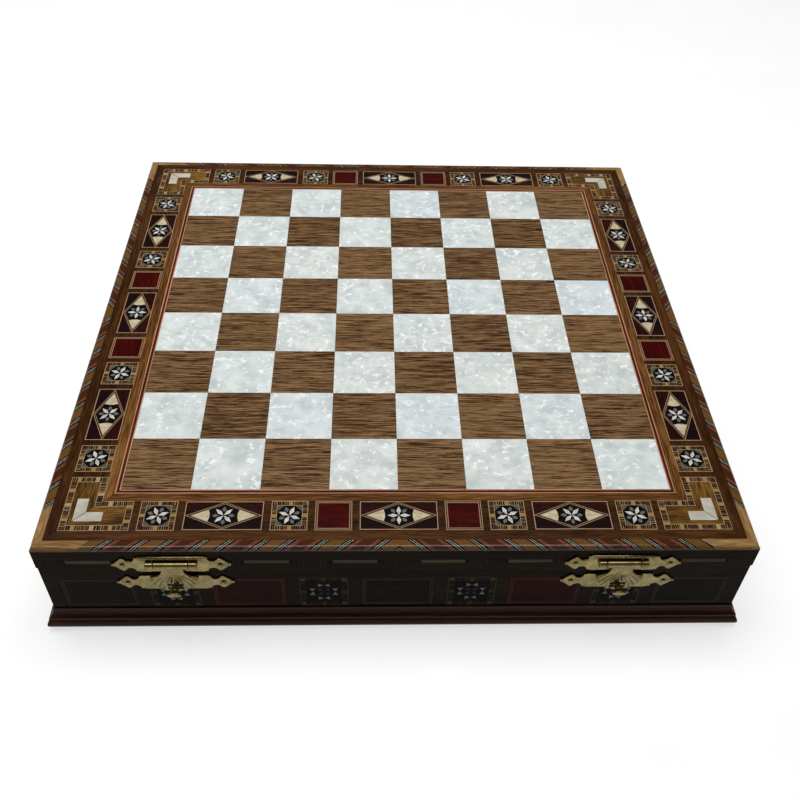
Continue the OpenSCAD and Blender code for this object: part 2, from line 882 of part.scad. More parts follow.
module king() {
    neck_z = king_h * collar_share;
    cup_z = king_h * cup_share;
    arm = 1.3;
    turned(king_r, 4.8, neck_z, 9);
    translate([0, 0, neck_z + 1]) cylinder(r1 = 5.2, r2 = cup_r, h = cup_z - neck_z - 1);
    translate([0, 0, cup_z]) cylinder(r1 = cup_r, r2 = 3, h = 3.2);
    translate([0, 0, (cup_z + king_h) / 2 + 1]) cube([2.6, 2 * arm, king_h - cup_z - 2], center = true);
    translate([0, 0, king_h - 4]) cube([7.6, 2 * arm, 2.6], center = true);
}

module queen() {
    neck_z = queen_h * collar_share;
    crown_z = queen_h * crown_share;
    knob_r = 2.4;
    turned(queen_r, 4.5, neck_z, 8.4);
    difference() {
        translate([0, 0, neck_z + 1]) cylinder(r1 = 4.8, r2 = crown_r, h = crown_z - neck_z - 1);
        for (i = [0:7])
            rotate([0, 0, i * 45])
                translate([crown_r + 0.3, 0, crown_z]) sphere(1.9);
    }
    translate([0, 0, crown_z - 0.5]) cylinder(r1 = 5.5, r2 = knob_r, h = 3);
    translate([0, 0, queen_h - knob_r]) sphere(knob_r);
}

module bishop() {
    neck_z = bishop_h * low_collar_share;
    head_z = bishop_h * head_share;
    knob_r = 2.2;
    turned(minor_r, 4, neck_z, 7.4);
    difference() {
        rotate_extrude() intersection() {
            translate([-head_in, head_z]) circle(head_arc);
            square([7, bishop_h - 1]);
            translate([0, neck_z + 1]) square([7, bishop_h]);
        }
        translate([2.4, 0, head_z + 6])
            rotate([0, 35, 0]) cube([1, 16, 10], center = true);
    }
    translate([0, 0, bishop_h - knob_r]) sphere(knob_r);
}

// Horse's head: a flat outline with round jaw, cheek and crest, thinned towards the muzzle
module knight() {
    neck_z = foot_h + 3;
    top = knight_h - neck_z;
    turned(minor_r, 8.4, neck_z, 9.2);
    difference() {
        translate([0, horse_t / 2, neck_z + 1])
            rotate([90, 0, 0])
                linear_extrude(horse_t)
                    difference() {
                        union() {
                            polygon([
                                [-8.4, 0], [8, 0], [7.4, 6], [3.6, top * 0.34], [3, top * 0.44],
                                [9.4, top * 0.4], [12.6, top * 0.5], [12, top * 0.6], [4.6, top * 0.84],
                                [2.4, top * 0.88], [1.2, top * 0.99], [-1.2, top * 0.88],
                                [-6.5, top * 0.78], [-9.2, top * 0.56], [-9.8, top * 0.34]
                            ]);
                            translate([0.6, top * 0.58]) circle(6.8);
                        }
                        translate([10, top * 0.2]) circle(5.4);
                    }
        for (side = [-1, 1])
            translate([14, side * 7.4, neck_z + top * 0.6])
                rotate([0, 0, side * 12]) cube([26, 8, top * 1.2], center = true);
    }
}

module rook() {
    neck_z = rook_h * collar_share;
    turned(minor_r, 6.4, neck_z, tower_r);
    difference() {
        union() {
            translate([0, 0, neck_z + 1]) cylinder(r1 = 7, r2 = tower_r, h = 4);
            translate([0, 0, neck_z + 5]) cylinder(r = tower_r, h = rook_h - neck_z - 5);
        }
        translate([0, 0, rook_h - 4]) cylinder(r = 6.2, h = 5);
        for (turn = [0, 60, 120])
            rotate([0, 0, turn])
                translate([0, 0, rook_h]) cube([24, 3, 5.6], center = true);
    }
}

module pawn() {
    neck_z = pawn_h * low_collar_share;
    turned(pawn_r, 3.9, neck_z, 7.6);
    translate([0, 0, neck_z]) cylinder(r = 3.4, h = pawn_h - ball_r - neck_z);
    translate([0, 0, pawn_h - ball_r]) sphere(ball_r);
}

// Lays a piece in the middle of its cell, its head towards the middle of the box.
// file counts the columns from the left, y is the cell's middle, and half is 1 for the near half or -1.
module lay(file, y, half, h, base_r, rho_h, z_h, r_h) {
    angle = lie_angle(base_r - rim, rho_h, z_h, r_h);
    rise = rim * sin(angle) + (base_r - rim) * cos(angle) + rim;
    back = (h * cos(angle)) / 2;
    x = -tray_half + (file + 0.5) * cell_pitch;
    translate([x, y, floor_z + lie_gap])
        rotate([0, 0, half > 0 ? 0 : 180])
            scale(men_scale)
                translate([0, -back, rise])
                    rotate([-90 - angle, 0, 0]) children();
}

major_mid = (tray_half + major_y + divider_t / 2) / 2;
pawn_mid = major_y / 2;

module lay_major(file, half, h, base_r, rho_h, z_h, r_h) {
    lay(file, -half * major_mid, half, h, base_r, rho_h, z_h, r_h) children();
}

module lay_king(half) {
    lay_major(4, half, king_h, king_r, cup_r, king_h * cup_share, 0) king();
}

module lay_queen(half) {
    lay_major(3, half, queen_h, queen_r, crown_r, queen_h * crown_share, 0) queen();
}

module lay_bishops(half) {
    for (file = [2, 5])
        lay_major(file, half, bishop_h, minor_r, -head_in, bishop_h * head_share, head_arc) bishop();
}

module lay_knights(half) {
    for (file = [1, 6])
        lay_major(file, half, knight_h, minor_r, horse_t / 2, knight_h, 0) knight();
}

module lay_rooks(half) {
    for (file = [0, 7])
        lay_major(file, half, rook_h, minor_r, tower_r, rook_h, 0) rook();
}

module lay_pawns(half) {
    for (file = [0:files - 1])
        lay(file, -half * pawn_mid, half, pawn_h, pawn_r, 0, pawn_h - ball_r, ball_r) pawn();
}

bottom_panel();
front_board();
back_board();
rotate([0, 0, -90]) side_board();  // left_board
rotate([0, 0, 90]) side_board();  // right_board
base_moulding();
color("gray") frieze_pieces([-star_2_x, -star_x, star_x, star_2_x], side_star_w);  // side_star_tiles
color("darkred") frieze_pieces([-red_x, red_x], panel_l);  // side_red_panels
color("darkslategray") frieze_pieces([-dark_x, 0, dark_x], panel_l);  // side_dark_panels
tray_lining();
long_dividers();
cross_dividers();
lower_plate(-1);  // lower_plate_left
lower_plate(1);  // lower_plate_right
color("gold") for (side = [-1, 1]) plate_pins(side * hasp_x, box_h - lower_plate_z, box_half + plate_t);  // lower_plate_pins
hinge_leaves(-1);  // hinge_box_leaves
slotted_screws(-1);  // hinge_box_screws
hinge_pins();
turn_knob(-1);  // turn_knob_left
turn_knob(1);  // turn_knob_right
color("burlywood") lay_king(1);  // light_king
color("burlywood") lay_queen(1);  // light_queen
color("burlywood") lay_bishops(1);  // light_bishops
color("burlywood") lay_knights(1);  // light_knights
color("burlywood") lay_rooks(1);  // light_rooks
color("burlywood") lay_pawns(1);  // light_pawns
color("saddlebrown") lay_king(-1);  // dark_king
color("saddlebrown") lay_queen(-1);  // dark_queen
color("saddlebrown") lay_bishops(-1);  // dark_bishops
color("saddlebrown") lay_knights(-1);  // dark_knights
color("saddlebrown") lay_rooks(-1);  // dark_rooks
color("saddlebrown") lay_pawns(-1);  // dark_pawns
lid_panel();
lid_rail_front();
lid_rail_back();
rotate([0, 0, -90]) lid_rail();  // lid_rail_left
rotate([0, 0, 90]) lid_rail();  // lid_rail_right
color("ivory") squares(1);  // light_squares
color("sienna") squares(0);  // dark_squares
light_lines();
red_lines();
border_strips();
color("dimgray") band_blocks([-star_tile_2_x, -star_tile_x, star_tile_x, star_tile_2_x], band_w);  // star_tiles
color("black") band_blocks([-diamond_tile_x, 0, diamond_tile_x], diamond_l);  // diamond_tiles
color("darkred") band_blocks([-red_tile_x, red_tile_x], red_tile_l);  // red_tiles
corner_tiles();
rope_banding();
rope_corners();
edge_light_bars();
edge_tick_bars();
lid_lining();
upper_plate(-1);  // upper_plate_left
upper_plate(1);  // upper_plate_right
color("gold") for (side = [-1, 1]) plate_pins(side * hasp_x, lid_z + upper_plate_z, lid_half + plate_t);  // upper_plate_pins
hasp_rods();
flap(-1);  // flap_left
flap(1);  // flap_right
hinge_leaves(1);  // hinge_lid_leaves
slotted_screws(1);  // hinge_lid_screws
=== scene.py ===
import math
import random

import bmesh
import bpy
from mathutils import Matrix, Vector
from mathutils.geometry import delaunay_2d_cdt


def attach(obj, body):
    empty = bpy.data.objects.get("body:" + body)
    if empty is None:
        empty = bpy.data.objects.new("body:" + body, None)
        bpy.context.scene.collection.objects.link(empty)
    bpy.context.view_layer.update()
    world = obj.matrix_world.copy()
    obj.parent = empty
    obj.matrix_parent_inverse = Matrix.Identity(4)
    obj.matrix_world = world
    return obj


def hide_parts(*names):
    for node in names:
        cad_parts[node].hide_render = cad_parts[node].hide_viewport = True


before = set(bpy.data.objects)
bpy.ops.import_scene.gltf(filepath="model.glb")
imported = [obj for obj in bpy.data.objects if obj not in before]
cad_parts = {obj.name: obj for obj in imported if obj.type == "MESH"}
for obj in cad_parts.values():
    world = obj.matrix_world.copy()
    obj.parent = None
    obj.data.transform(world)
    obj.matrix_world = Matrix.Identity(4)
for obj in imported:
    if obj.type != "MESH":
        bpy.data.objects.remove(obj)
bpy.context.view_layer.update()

# Bottom of the box
# A sheet of birch plywood, let into a rebate of the base and glued there.
# It is sanded and left without lacquer, so it is pale and matt.

MM = 0.001


def shade(red, green, blue):
    """A colour as a screen shows it, from 0 to 255, turned into light."""
    steps = [value / 255 for value in (red, green, blue)]
    return [s / 12.92 if s < 0.04 else ((s + 0.055) / 1.055) ** 2.4 for s in steps] + [1.0]


class Finish:
    """A material that is built up from its texture nodes. Lengths are in millimetres."""

    def __init__(self, name, **surface):
        self.made = bpy.data.materials.new(name)
        self.made.use_nodes = True
        self.tree = self.made.node_tree
        self.surface = self.tree.nodes["Principled BSDF"]
        self.join(self.surface, surface)

    def join(self, node, inputs):
        for name, value in inputs.items():
            if isinstance(value, bpy.types.NodeSocket):
                self.tree.links.new(value, node.inputs[name])
            else:
                node.inputs[name].default_value = value
        return node

    def node(self, kind, inputs, **settings):
        new = self.tree.nodes.new("ShaderNode" + kind)
        for name, value in settings.items():
            setattr(new, name, value)
        return self.join(new, inputs)

    def sum(self, how, *values):
        return self.node("Math", dict(enumerate(values)), operation=how).outputs[0]

    def scaled(self, value, by, start=0.0):
        return self.sum("MULTIPLY_ADD", value, by, start)

    def place(self):
        """Where a point lies on the piece."""
        where = self.node("TexCoord", {}).outputs["Object"]
        parts = self.node("SeparateXYZ", {0: where}).outputs
        return [self.scaled(part, 1000.0) for part in parts]

    def vector(self, x, y, z):
        return self.node("CombineXYZ", {0: x, 1: y, 2: z}).outputs[0]

    def cloud(self, where, lengths, detail=2.0, rough=0.5):
        """Soft noise, from 0 to 1, whose patches have these lengths along the three axes."""
        spot = self.vector(*[self.scaled(w, 1 / length) for w, length in zip(where, lengths)])
        inputs = {"Vector": spot, "Scale": 1.0, "Detail": detail, "Roughness": rough}
        return self.node("TexNoise", inputs).outputs[0]

    def steps(self, value, stops):
        """Turns a number into a colour, by stops of (number, colour)."""
        ramp = self.node("ValToRGB", {0: value})
        ramp.color_ramp.elements.remove(ramp.color_ramp.elements[1])
        ramp.color_ramp.elements[0].position, ramp.color_ramp.elements[0].color = stops[0]
        for at, colour in stops[1:]:
            ramp.color_ramp.elements.new(at).color = colour
        return ramp.outputs[0]

    def limits(self, value, low, high, to_low=0.0, to_high=1.0):
        """Stretches a number from between low and high to between to_low and to_high."""
        inputs = {0: value, 1: low, 2: high, 3: to_low, 4: to_high}
        return self.node("MapRange", inputs).outputs[0]

    def over(self, share, first, second, how="MIX"):
        inputs = {0: share, 6: first, 7: second}
        return self.node("Mix", inputs, data_type="RGBA", blend_type=how).outputs[2]

    def between(self, share, first, second):
        return self.node("Mix", {0: share, 2: first, 3: second}).outputs[0]

    def coat(self, colour, rough=None, height=None, depth=None):
        """Puts the colour, roughness and relief of the nodes on the surface; depth is in millimetres."""
        self.join(self.surface, {"Base Color": colour})
        if rough is not None:
            self.join(self.surface, {"Roughness": rough})
        if height is not None:
            relief = self.node("Bump", {"Height": height, "Distance": depth * MM, "Strength": 1.0})
            self.join(self.surface, {"Normal": relief.outputs[0]})


def dress(finish, *names):
    """Puts a finish on pieces that keep their CAD shape."""
    for name in names:
        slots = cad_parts[name].material_slots
        if not slots:
            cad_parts[name].data.materials.append(None)
        for place in slots:
            place.material = finish.made


def wood(
    name, tones, along, streak, length, gloss, open_pores=0.5, cell=None, spread=0.16, **surface
):
    """Straight-grained wood. Tones are the dark, middle, light and pore colours; along is the axis of
    the grain, or frame where it follows each side of a mitred frame; cell is the side of one
    square where each has its own sheet of veneer; a small spread makes the streaks stand out."""
    dark, middle, light, pore = [shade(*tone) for tone in tones]
    made = Finish(name, **surface)
    x, y, z = made.place()
    if along == "frame":
        aside = made.sum("GREATER_THAN", made.sum("ABSOLUTE", x), made.sum("ABSOLUTE", y))
        where = [made.between(aside, x, y), made.between(aside, y, x), z]
        far = made.sum("GREATER_THAN", where[1], 0.0)
        apart = made.sum("ADD", made.scaled(aside, 700.0), made.scaled(far, 450.0))
        where[0] = made.sum("ADD", where[0], apart)
    else:
        where = {"x": [x, y, z], "y": [y, x, z]}[along]
    tone = 0.5
    zone_share = 0.06 if cell else 0.35
    if cell:
        column = made.sum("FLOOR", made.scaled(x, 1 / cell))
        row = made.sum("FLOOR", made.scaled(y, 1 / cell))
        chance = made.node("TexWhiteNoise", {"Vector": made.vector(column, row, 3.0)}, noise_dimensions="3D")
        tone = chance.outputs["Value"]
        where[0] = made.sum("ADD", where[0], made.scaled(tone, 900.0))
        where[1] = made.sum("ADD", where[1], made.scaled(tone, 370.0))
    wander = made.cloud(where, (length * 1.3, streak * 12, streak * 12))
    waved = [where[0], made.sum("ADD", where[1], made.scaled(wander, streak * 3.5)), where[2]]
    zones = made.cloud(waved, (length * 6, streak * 9, streak * 9), 1.0)
    lines = made.cloud(waved, (length, streak, streak), 3.0, 0.6)
    pores = made.cloud(waved, (length * 0.35, streak * 0.4, streak * 0.4), 1.0)
    figure = made.sum("ADD", made.scaled(zones, zone_share), made.scaled(lines, 1.0 - zone_share))
    figure = made.sum("ADD", figure, made.scaled(tone, 0.04, -0.02) if cell else 0.0)
    colour = made.steps(figure, [(0.5 - spread, dark), (0.5, middle), (0.5 + spread, light)])
    holes = made.limits(pores, 0.6, 0.7)
    colour = made.over(made.scaled(holes, open_pores), colour, pore)
    made.coat(colour, made.scaled(lines, 0.12, gloss - 0.04), made.scaled(holes, -1.0), 0.015)
    return made


birch = wood(
    "birch plywood",
    ((176, 138, 92), (196, 160, 112), (212, 180, 136), (150, 112, 72)),
    "x", streak=1.6, length=40.0, open_pores=0.3, gloss=0.62,
)
dress(birch, "bottom_panel")

# Base of the box
# A walnut moulding in four mitred lengths: a cove over a round bead.
# It was run on a moulding cutter, stained a reddish brown and lacquered.

red_walnut = wood(
    "stained walnut moulding",
    ((40, 19, 10), (62, 32, 17), (84, 48, 26), (26, 12, 7)),
    "frame", streak=1.3, length=34.0, gloss=0.24,
    **{"Specular IOR Level": 0.08, "Coat Weight": 0.03, "Coat Roughness": 0.12},
)
dress(red_walnut, "base_moulding")

# Sides of the box
# Four walnut boards, mitred and glued at the corners, stained dark and lacquered.
# Each has beds cut into it for the frieze.

SIDE_LACQUER = {"Specular IOR Level": 0.012, "Coat Weight": 0.025, "Coat Roughness": 0.08}

dark_walnut = wood(
    "dark lacquered walnut",
    ((24, 15, 8), (40, 28, 15), (58, 42, 25), (16, 10, 5)),
    "frame", streak=1.4, length=40.0, gloss=0.2, **SIDE_LACQUER,
)
dress(dark_walnut, "front_board", "back_board", "left_board", "right_board")

# Frieze on the sides of the box
# On each side three dark panels, two dark red ones and four star tiles, each a thin sheet
# glued up from sawn slips of wood and shell, let in flush and lacquered over.

BOX_HALF = 201.5
FRIEZE_H = 28.4
FRIEZE_MIDDLE = 31.2
FRIEZE_T = 1.5
PANEL_W = 43.3
PANEL_X = {"dark": (-171.8, 0.0, 171.8), "red": (-85.9, 85.9)}
PANEL_LINES = ((1.2, 1.6), (2.5, 2.9))
SIDE_STAR_W = 27.9
SIDE_STAR_X = (-128.85, -42.95, 42.95, 128.85)
HASP_X = 126.5
KNOB_Z = 42.5
KNOB_SEAT_R = 2.7
DARK_SLIP = (0.7, 1.15)
PALE_SLIP = (0.24, 0.38)

INK = shade(14, 10, 8)
JET = shade(6, 5, 4)
UMBER = shade(42, 23, 11)
RUSSET = shade(72, 34, 19)
STRAW = shade(150, 128, 78)
TAN = shade(112, 80, 48)
CREAM = shade(170, 150, 110)
LINE = shade(172, 140, 110)
CHALK = shade(158, 156, 148)
CHALK_GREY = shade(126, 122, 114)
SMOKE = 0.3


def dyed(name, **surface):
    """Slips of wood that each have their own dye."""
    made = Finish(name, **surface)
    dye = made.node("Attribute", {}, attribute_name="dye").outputs["Color"]
    fibre = made.cloud(made.place(), (0.35, 0.35, 1.5), 2.0)
    fibre = made.steps(fibre, [(0.3, (0.72, 0.7, 0.68, 1)), (0.7, (1.16, 1.14, 1.12, 1))])
    made.coat(made.over(1.0, dye, fibre, "MULTIPLY"), 0.2)
    return made


side_slip = dyed("dyed slips on the sides", **SIDE_LACQUER)
dark_padauk = wood(
    "dark red wood panel",
    ((42, 9, 7), (58, 14, 11), (74, 22, 16), (26, 6, 5)),
    "frame", streak=1.2, length=20.0, gloss=0.2, **SIDE_LACQUER,
)
ebony = wood(
    "ebony panel",
    ((17, 14, 12), (27, 24, 20), (38, 34, 28), (12, 10, 8)),
    "frame", streak=1.2, length=20.0, gloss=0.2, **SIDE_LACQUER,
)
INLAYS = {"side slip": side_slip, "dark red": dark_padauk, "ebony": ebony}


class Marquetry:
    """Sheets of inlay: outlines laid over each other on a plane become pieces fitted edge to edge under
    one flush face. A slip is (outline, stuff, dye), and a slip whose stuff is None leaves a hole."""

    def __init__(self):
        self.points, self.faces, self.looks = [], [], []

    def lay(self, slips, place, depth, sheets=1):
        """The first slips, as many as sheets, are the whole tile. place(x, y, deep) is a point's place."""
        spots, rings = [], []
        for outline, _, _ in slips:
            rings.append(list(range(len(spots), len(spots) + len(outline))))
            spots += [Vector(spot) for spot in outline]
            around = sum(spots[a].cross(spots[b]) for a, b in zip(rings[-1], rings[-1][1:] + rings[-1][:1]))
            if around < 0:
                rings[-1].reverse()
        found = delaunay_2d_cdt(spots, [], rings, 1, 1e-4, True)
        cells = []
        for cell, owners in zip(found[2], found[5]):
            if not owners or min(owners) >= sheets or slips[max(owners)][1] is None:
                continue
            a, b, c = [found[0][i] for i in cell]
            cells.append((cell if (b - a).cross(c - a) > 0 else cell[::-1], slips[max(owners)][1:]))
        used = sorted({i for cell, _ in cells for i in cell})
        top = {i: len(self.points) + k for k, i in enumerate(used)}
        low = {i: len(self.points) + len(used) + k for k, i in enumerate(used)}
        self.points += [place(*found[0][i], 0.0) for i in used]
        self.points += [place(*found[0][i], depth) for i in used]
        edges = {(a, b): look for cell, look in cells for a, b in zip(cell, cell[1:] + cell[:1])}
        for cell, look in cells:
            self.add([top[i] for i in cell], look)
            self.add([low[i] for i in reversed(cell)], look)
        for (a, b), look in edges.items():
            if (b, a) not in edges:
                self.add([top[a], low[a], low[b], top[b]], look)

    def add(self, face, look):
        self.faces.append(face)
        self.looks.append(look)

    def piece(self, name, body, slot, node, tone=1.0):
        """The finished sheets as one piece, which stands for a CAD node; tone darkens all dyes but chalk."""
        mesh = bpy.data.meshes.new(name)
        mesh.from_pydata([Vector(point) * MM for point in self.points], [], self.faces)
        stuffs = sorted({stuff for stuff, _ in self.looks})
        for stuff in stuffs:
            mesh.materials.append(INLAYS[stuff].made)
        mesh.polygons.foreach_set("material_index", [stuffs.index(stuff) for stuff, _ in self.looks])
        dyes = mesh.color_attributes.new("dye", "FLOAT_COLOR", "CORNER")
        colours = [(look[1] or INK) for face, look in zip(self.faces, self.looks) for _ in face]
        colours = [colour if colour == CHALK else [part * tone for part in colour] for colour in colours]
        dyes.data.foreach_set("color", [part for colour in colours for part in colour])
        settle(name, mesh, body, slot, node)


def settle(name, mesh, body, slot, node):
    """Puts a finished mesh on its body and in place of its CAD node; slot is not used."""
    work = bmesh.new()
    work.from_mesh(mesh)
    bmesh.ops.recalc_face_normals(work, faces=work.faces)
    work.to_mesh(mesh)
    work.free()
    piece = bpy.data.objects.new(name, mesh)
    bpy.context.scene.collection.objects.link(piece)
    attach(piece, body)
    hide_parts(node)
    return piece


def rect(left, low, right, high):
    return [(left, low), (right, low), (right, high), (left, high)]


def inset_rect(half_w, half_h, inset=0.0):
    """A rectangle about the middle of a tile, drawn in by an inset."""
    return rect(inset - half_w, inset - half_h, half_w - inset, half_h - inset)


def kite(angle, r_in, r_mid, r_out, half):
    """A kite that points away from the middle of its tile."""
    along = Vector((math.cos(angle), math.sin(angle)))
    across = Vector((-along.y, along.x)) * half
    return [along * r_in, along * r_mid - across, along * r_out, along * r_mid + across]


def arc(x, y, radius, start, end, count):
    """Points of an arc about (x, y), its angles in degrees."""
    turns = [math.radians(start + (end - start) * k / count) for k in range(count + 1)]
    return [(x + radius * math.cos(t), y + radius * math.sin(t)) for t in turns]


def disc(x, y, radius, count=20):
    """Points of a circle."""
    return arc(x, y, radius, 0, 360 - 360 / count, count - 1)


def quarter(turn):
    """The rotation from the front to another side, in quarters of a turn."""
    return Matrix.Rotation(turn * math.pi / 2, 3, "Z")


def on_side(turn, face_r, face_z, middle=0.0):
    """Placing on an upright side: x runs along the side, y up and deep into the wood."""
    spin = quarter(turn)
    return lambda x, y, deep: spin @ Vector((middle + x, -face_r + deep, face_z + y))


def ticks(draw, start, end, low, high, blocks, upright=False, stuff="slip"):
    """A row of dark and pale slips from start to end, under wider blocks of (middle, width, dye)."""
    spans = []
    x = start
    while x < end - 0.2:
        wide = draw.uniform(*DARK_SLIP)
        spans.append((x, min(x + wide, end), draw.choice((JET, INK, UMBER, RUSSET))))
        x += wide
        fine = draw.uniform(*PALE_SLIP)
        if x < end - 0.4:
            spans.append((x, min(x + fine, end), draw.choice((CREAM, TAN, TAN, STRAW))))
        x += fine
    spans += [(max(start, m - w / 2), min(end, m + w / 2), colour) for m, w, colour in blocks]
    slips = []
    for a, b, colour in spans:
        outline = rect(a, low, b, high)
        slips.append(([spot[::-1] for spot in outline] if upright else outline, stuff, colour))
    return slips


def bow_tie(x, y, upright):
    """Two triangles of shell that meet at their tips."""
    reach, half, tip = 3.3, 1.7, 0.25
    ties = []
    for s in (-1, 1):
        triangle = [(s * tip, 0), (s * reach, half), (s * reach, -half)]
        ties.append([(x + v, y + u) if upright else (x + u, y + v) for u, v in triangle])
    return ties


def side_star(draw, seat):
    """A star tile of the frieze, with the hole for a knob's riveted end where seat gives its middle."""
    half, high = SIDE_STAR_W / 2, FRIEZE_H / 2
    line, row_out, row_in, field, bow_r = 0.5, 0.8, 3.6, 4.0, 6.6
    slips = [(inset_rect(half, high), "side slip", LINE), (inset_rect(half, high, line), "side slip", UMBER)]
    for s in (-1, 1):
        for long, wide, upright in ((half, high, False), (high, half, True)):
            low, up = sorted((s * (wide - row_out), s * (wide - row_in)))
            end = long - 4.1
            slips += ticks(draw, -end, end, low, up, [(0, 2.6, STRAW)], upright, "side slip")
        for t in (-1, 1):
            corner = rect(s * (half - row_in), t * (high - row_in), s * (half - 0.9), t * (high - 0.9))
            slips.append((corner, "side slip", CREAM))
    slips.append((inset_rect(half, high, field), "side slip", INK))
    for x, y, upright in ((0, bow_r, False), (0, -bow_r, False), (-bow_r, 0, True), (bow_r, 0, True)):
        slips += [(triangle, "side slip", CHALK) for triangle in bow_tie(x, y, upright)]
    for k in range(4):
        slips.append((kite(math.radians(45 + 90 * k), 0.7, 3.2, 4.4, 1.25), "side slip", CHALK_GREY))
    if seat is not None:
        slips.append((disc(*seat, KNOB_SEAT_R, 24), None, None))
    return slips


def lined_panel(width, height, stuff):
    """A panel with two pale lines let in round it, each from one inset to the other."""
    slips = [(inset_rect(width / 2, height / 2), stuff, None)]
    for outer, inner in PANEL_LINES:
        slips.append((inset_rect(width / 2, height / 2, outer), "side slip", LINE))
        slips.append((inset_rect(width / 2, height / 2, inner), stuff, None))
    return slips


chance = random.Random(4)
side_stars = Marquetry()
side_panels = {"dark": Marquetry(), "red": Marquetry()}
for turn in range(4):
    for x in SIDE_STAR_X:
        seat = None
        if turn == 0 and abs(x) > 100:
            seat = (math.copysign(HASP_X, x) - x, KNOB_Z - FRIEZE_MIDDLE)
        side_stars.lay(side_star(chance, seat), on_side(turn, BOX_HALF, FRIEZE_MIDDLE, x), FRIEZE_T)
    for tone, stuff in (("dark", "ebony"), ("red", "dark red")):
        for x in PANEL_X[tone]:
            at = on_side(turn, BOX_HALF, FRIEZE_MIDDLE, x)
            side_panels[tone].lay(lined_panel(PANEL_W, FRIEZE_H, stuff), at, FRIEZE_T)
side_stars.piece("frieze_star_tiles", "box", "marquetry", "side_star_tiles", SMOKE)
side_panels["dark"].piece("frieze_dark_panels", "box", "ebony", "side_dark_panels", SMOKE)
side_panels["red"].piece("frieze_red_panels", "box", "redwood", "side_red_panels", SMOKE)

# Lining of the tray
# One piece of wine-red velvet, glued to the floor and up the inside of the four sides,
# with its corners eased and its upper edge cut just under the rim.

velvet = Finish("wine-red velvet", **{"Specular IOR Level": 0.1, "Roughness": 0.9})
velvet.join(velvet.surface, {"Sheen Weight": 0.6, "Sheen Roughness": 0.35, "Sheen Tint": shade(196, 92, 98)})
spot = velvet.place()
pile = velvet.cloud(spot, (0.5, 0.5, 0.5), 2.0)
nap = velvet.cloud(spot, (28.0, 18.0, 22.0), 2.0)
lie = velvet.sum("ADD", velvet.scaled(pile, 0.4), velvet.scaled(nap, 0.6))
velvet.coat(
    velvet.steps(lie, [(0.35, shade(62, 8, 16)), (0.5, shade(88, 13, 24)), (0.65, shade(112, 22, 34))]),
    height=velvet.sum("ADD", velvet.scaled(pile, 0.5), nap), depth=0.35,
)


def rounded_square(half, round_r, z, bulge=0.0):
    """A ring of points round a square with eased corners, its sides pushed in and out a little."""
    ring = []
    flats, turns = 24, 6
    for side in range(4):
        spin = quarter(side)
        for k in range(flats):
            share = k / flats
            x = (half - round_r) * (2 * share - 1)
            wave = bulge * math.sin(9 * share + 1.7 * side) * math.sin(math.pi * share) ** 0.5
            ring.append(spin @ Vector((x, -half + wave, z)))
        for k in range(turns):
            angle = -math.pi / 2 + math.pi / 2 * k / turns
            corner = Vector((half - round_r, round_r - half, z))
            ring.append(spin @ (corner + Vector((math.cos(angle), math.sin(angle), 0)) * round_r))
    return ring


def tube(rows, count, closed=False):
    """Faces that join rings of count points, with a cap at each end or, if closed, end to end."""
    faces = []
    for r in range(rows if closed else rows - 1):
        for k in range(count):
            n, up = (k + 1) % count, (r + 1) % rows
            faces.append([r * count + k, r * count + n, up * count + n, up * count + k])
    caps = [list(range(count)), list(range((rows - 1) * count, rows * count))]
    return faces if closed else faces + caps


def flat_rings(z, ripple=0.0):
    """Rings of the flat middle of a cloth, every other one raised by the ripple."""
    return [(20 + 16 * k, 6.0, z + ripple * (k % 2), 0.0) for k in range(11)]


def tray_sheet(name, back, face):
    """A tray of cloth from profiles of its back and its face, both in steps of (half width, corner
    radius, height, bulge)."""
    rings = [rounded_square(*step) for step in back + face[::-1]]
    faces = tube(len(rings), len(rings[0]))
    mesh = bpy.data.meshes.new(name)
    mesh.from_pydata([point * MM for ring in rings for point in ring], [], faces)
    mesh.polygons.foreach_set("use_smooth", [len(face) == 4 for face in faces])
    mesh.materials.append(velvet.made)
    return mesh


back = flat_rings(6.05) + [
    (186.5, 4.0, 6.1, 0.0), (188.6, 2.0, 7.2, 0.0), (189.3, 1.0, 9.0, 0.0),
    (189.35, 1.0, 30.0, 0.0), (189.35, 1.0, 56.2, 0.0),
]
face = flat_rings(6.95, -0.05) + [
    (185.9, 4.0, 7.0, 0.0), (187.6, 2.0, 7.9, 0.0), (188.45, 1.2, 9.6, 0.0), (188.5, 1.2, 18.0, 0.05),
    (188.5, 1.2, 30.0, 0.05), (188.5, 1.2, 44.0, 0.05), (188.5, 1.2, 55.7, 0.0), (188.9, 1.2, 56.25, 0.0),
]
lining = settle("tray_velvet", tray_sheet("tray_velvet", back, face), "box", "velvet", "tray_lining")

# Dividers of the tray
# Thin boards covered in the same velvet, with rounded tops: three that run from side to side,
# and short ones pressed in between them, so that each man has its own cell.

DIVIDER_Z = 7.15
DIVIDER_TOP = 47.35
DIVIDER_T = 3.0
LONG_Y = (-95.92, 0.0, 95.92)
TRAY_HALF = 188.4
CELL_PITCH = 47.125
CELL_GAP = 1.6


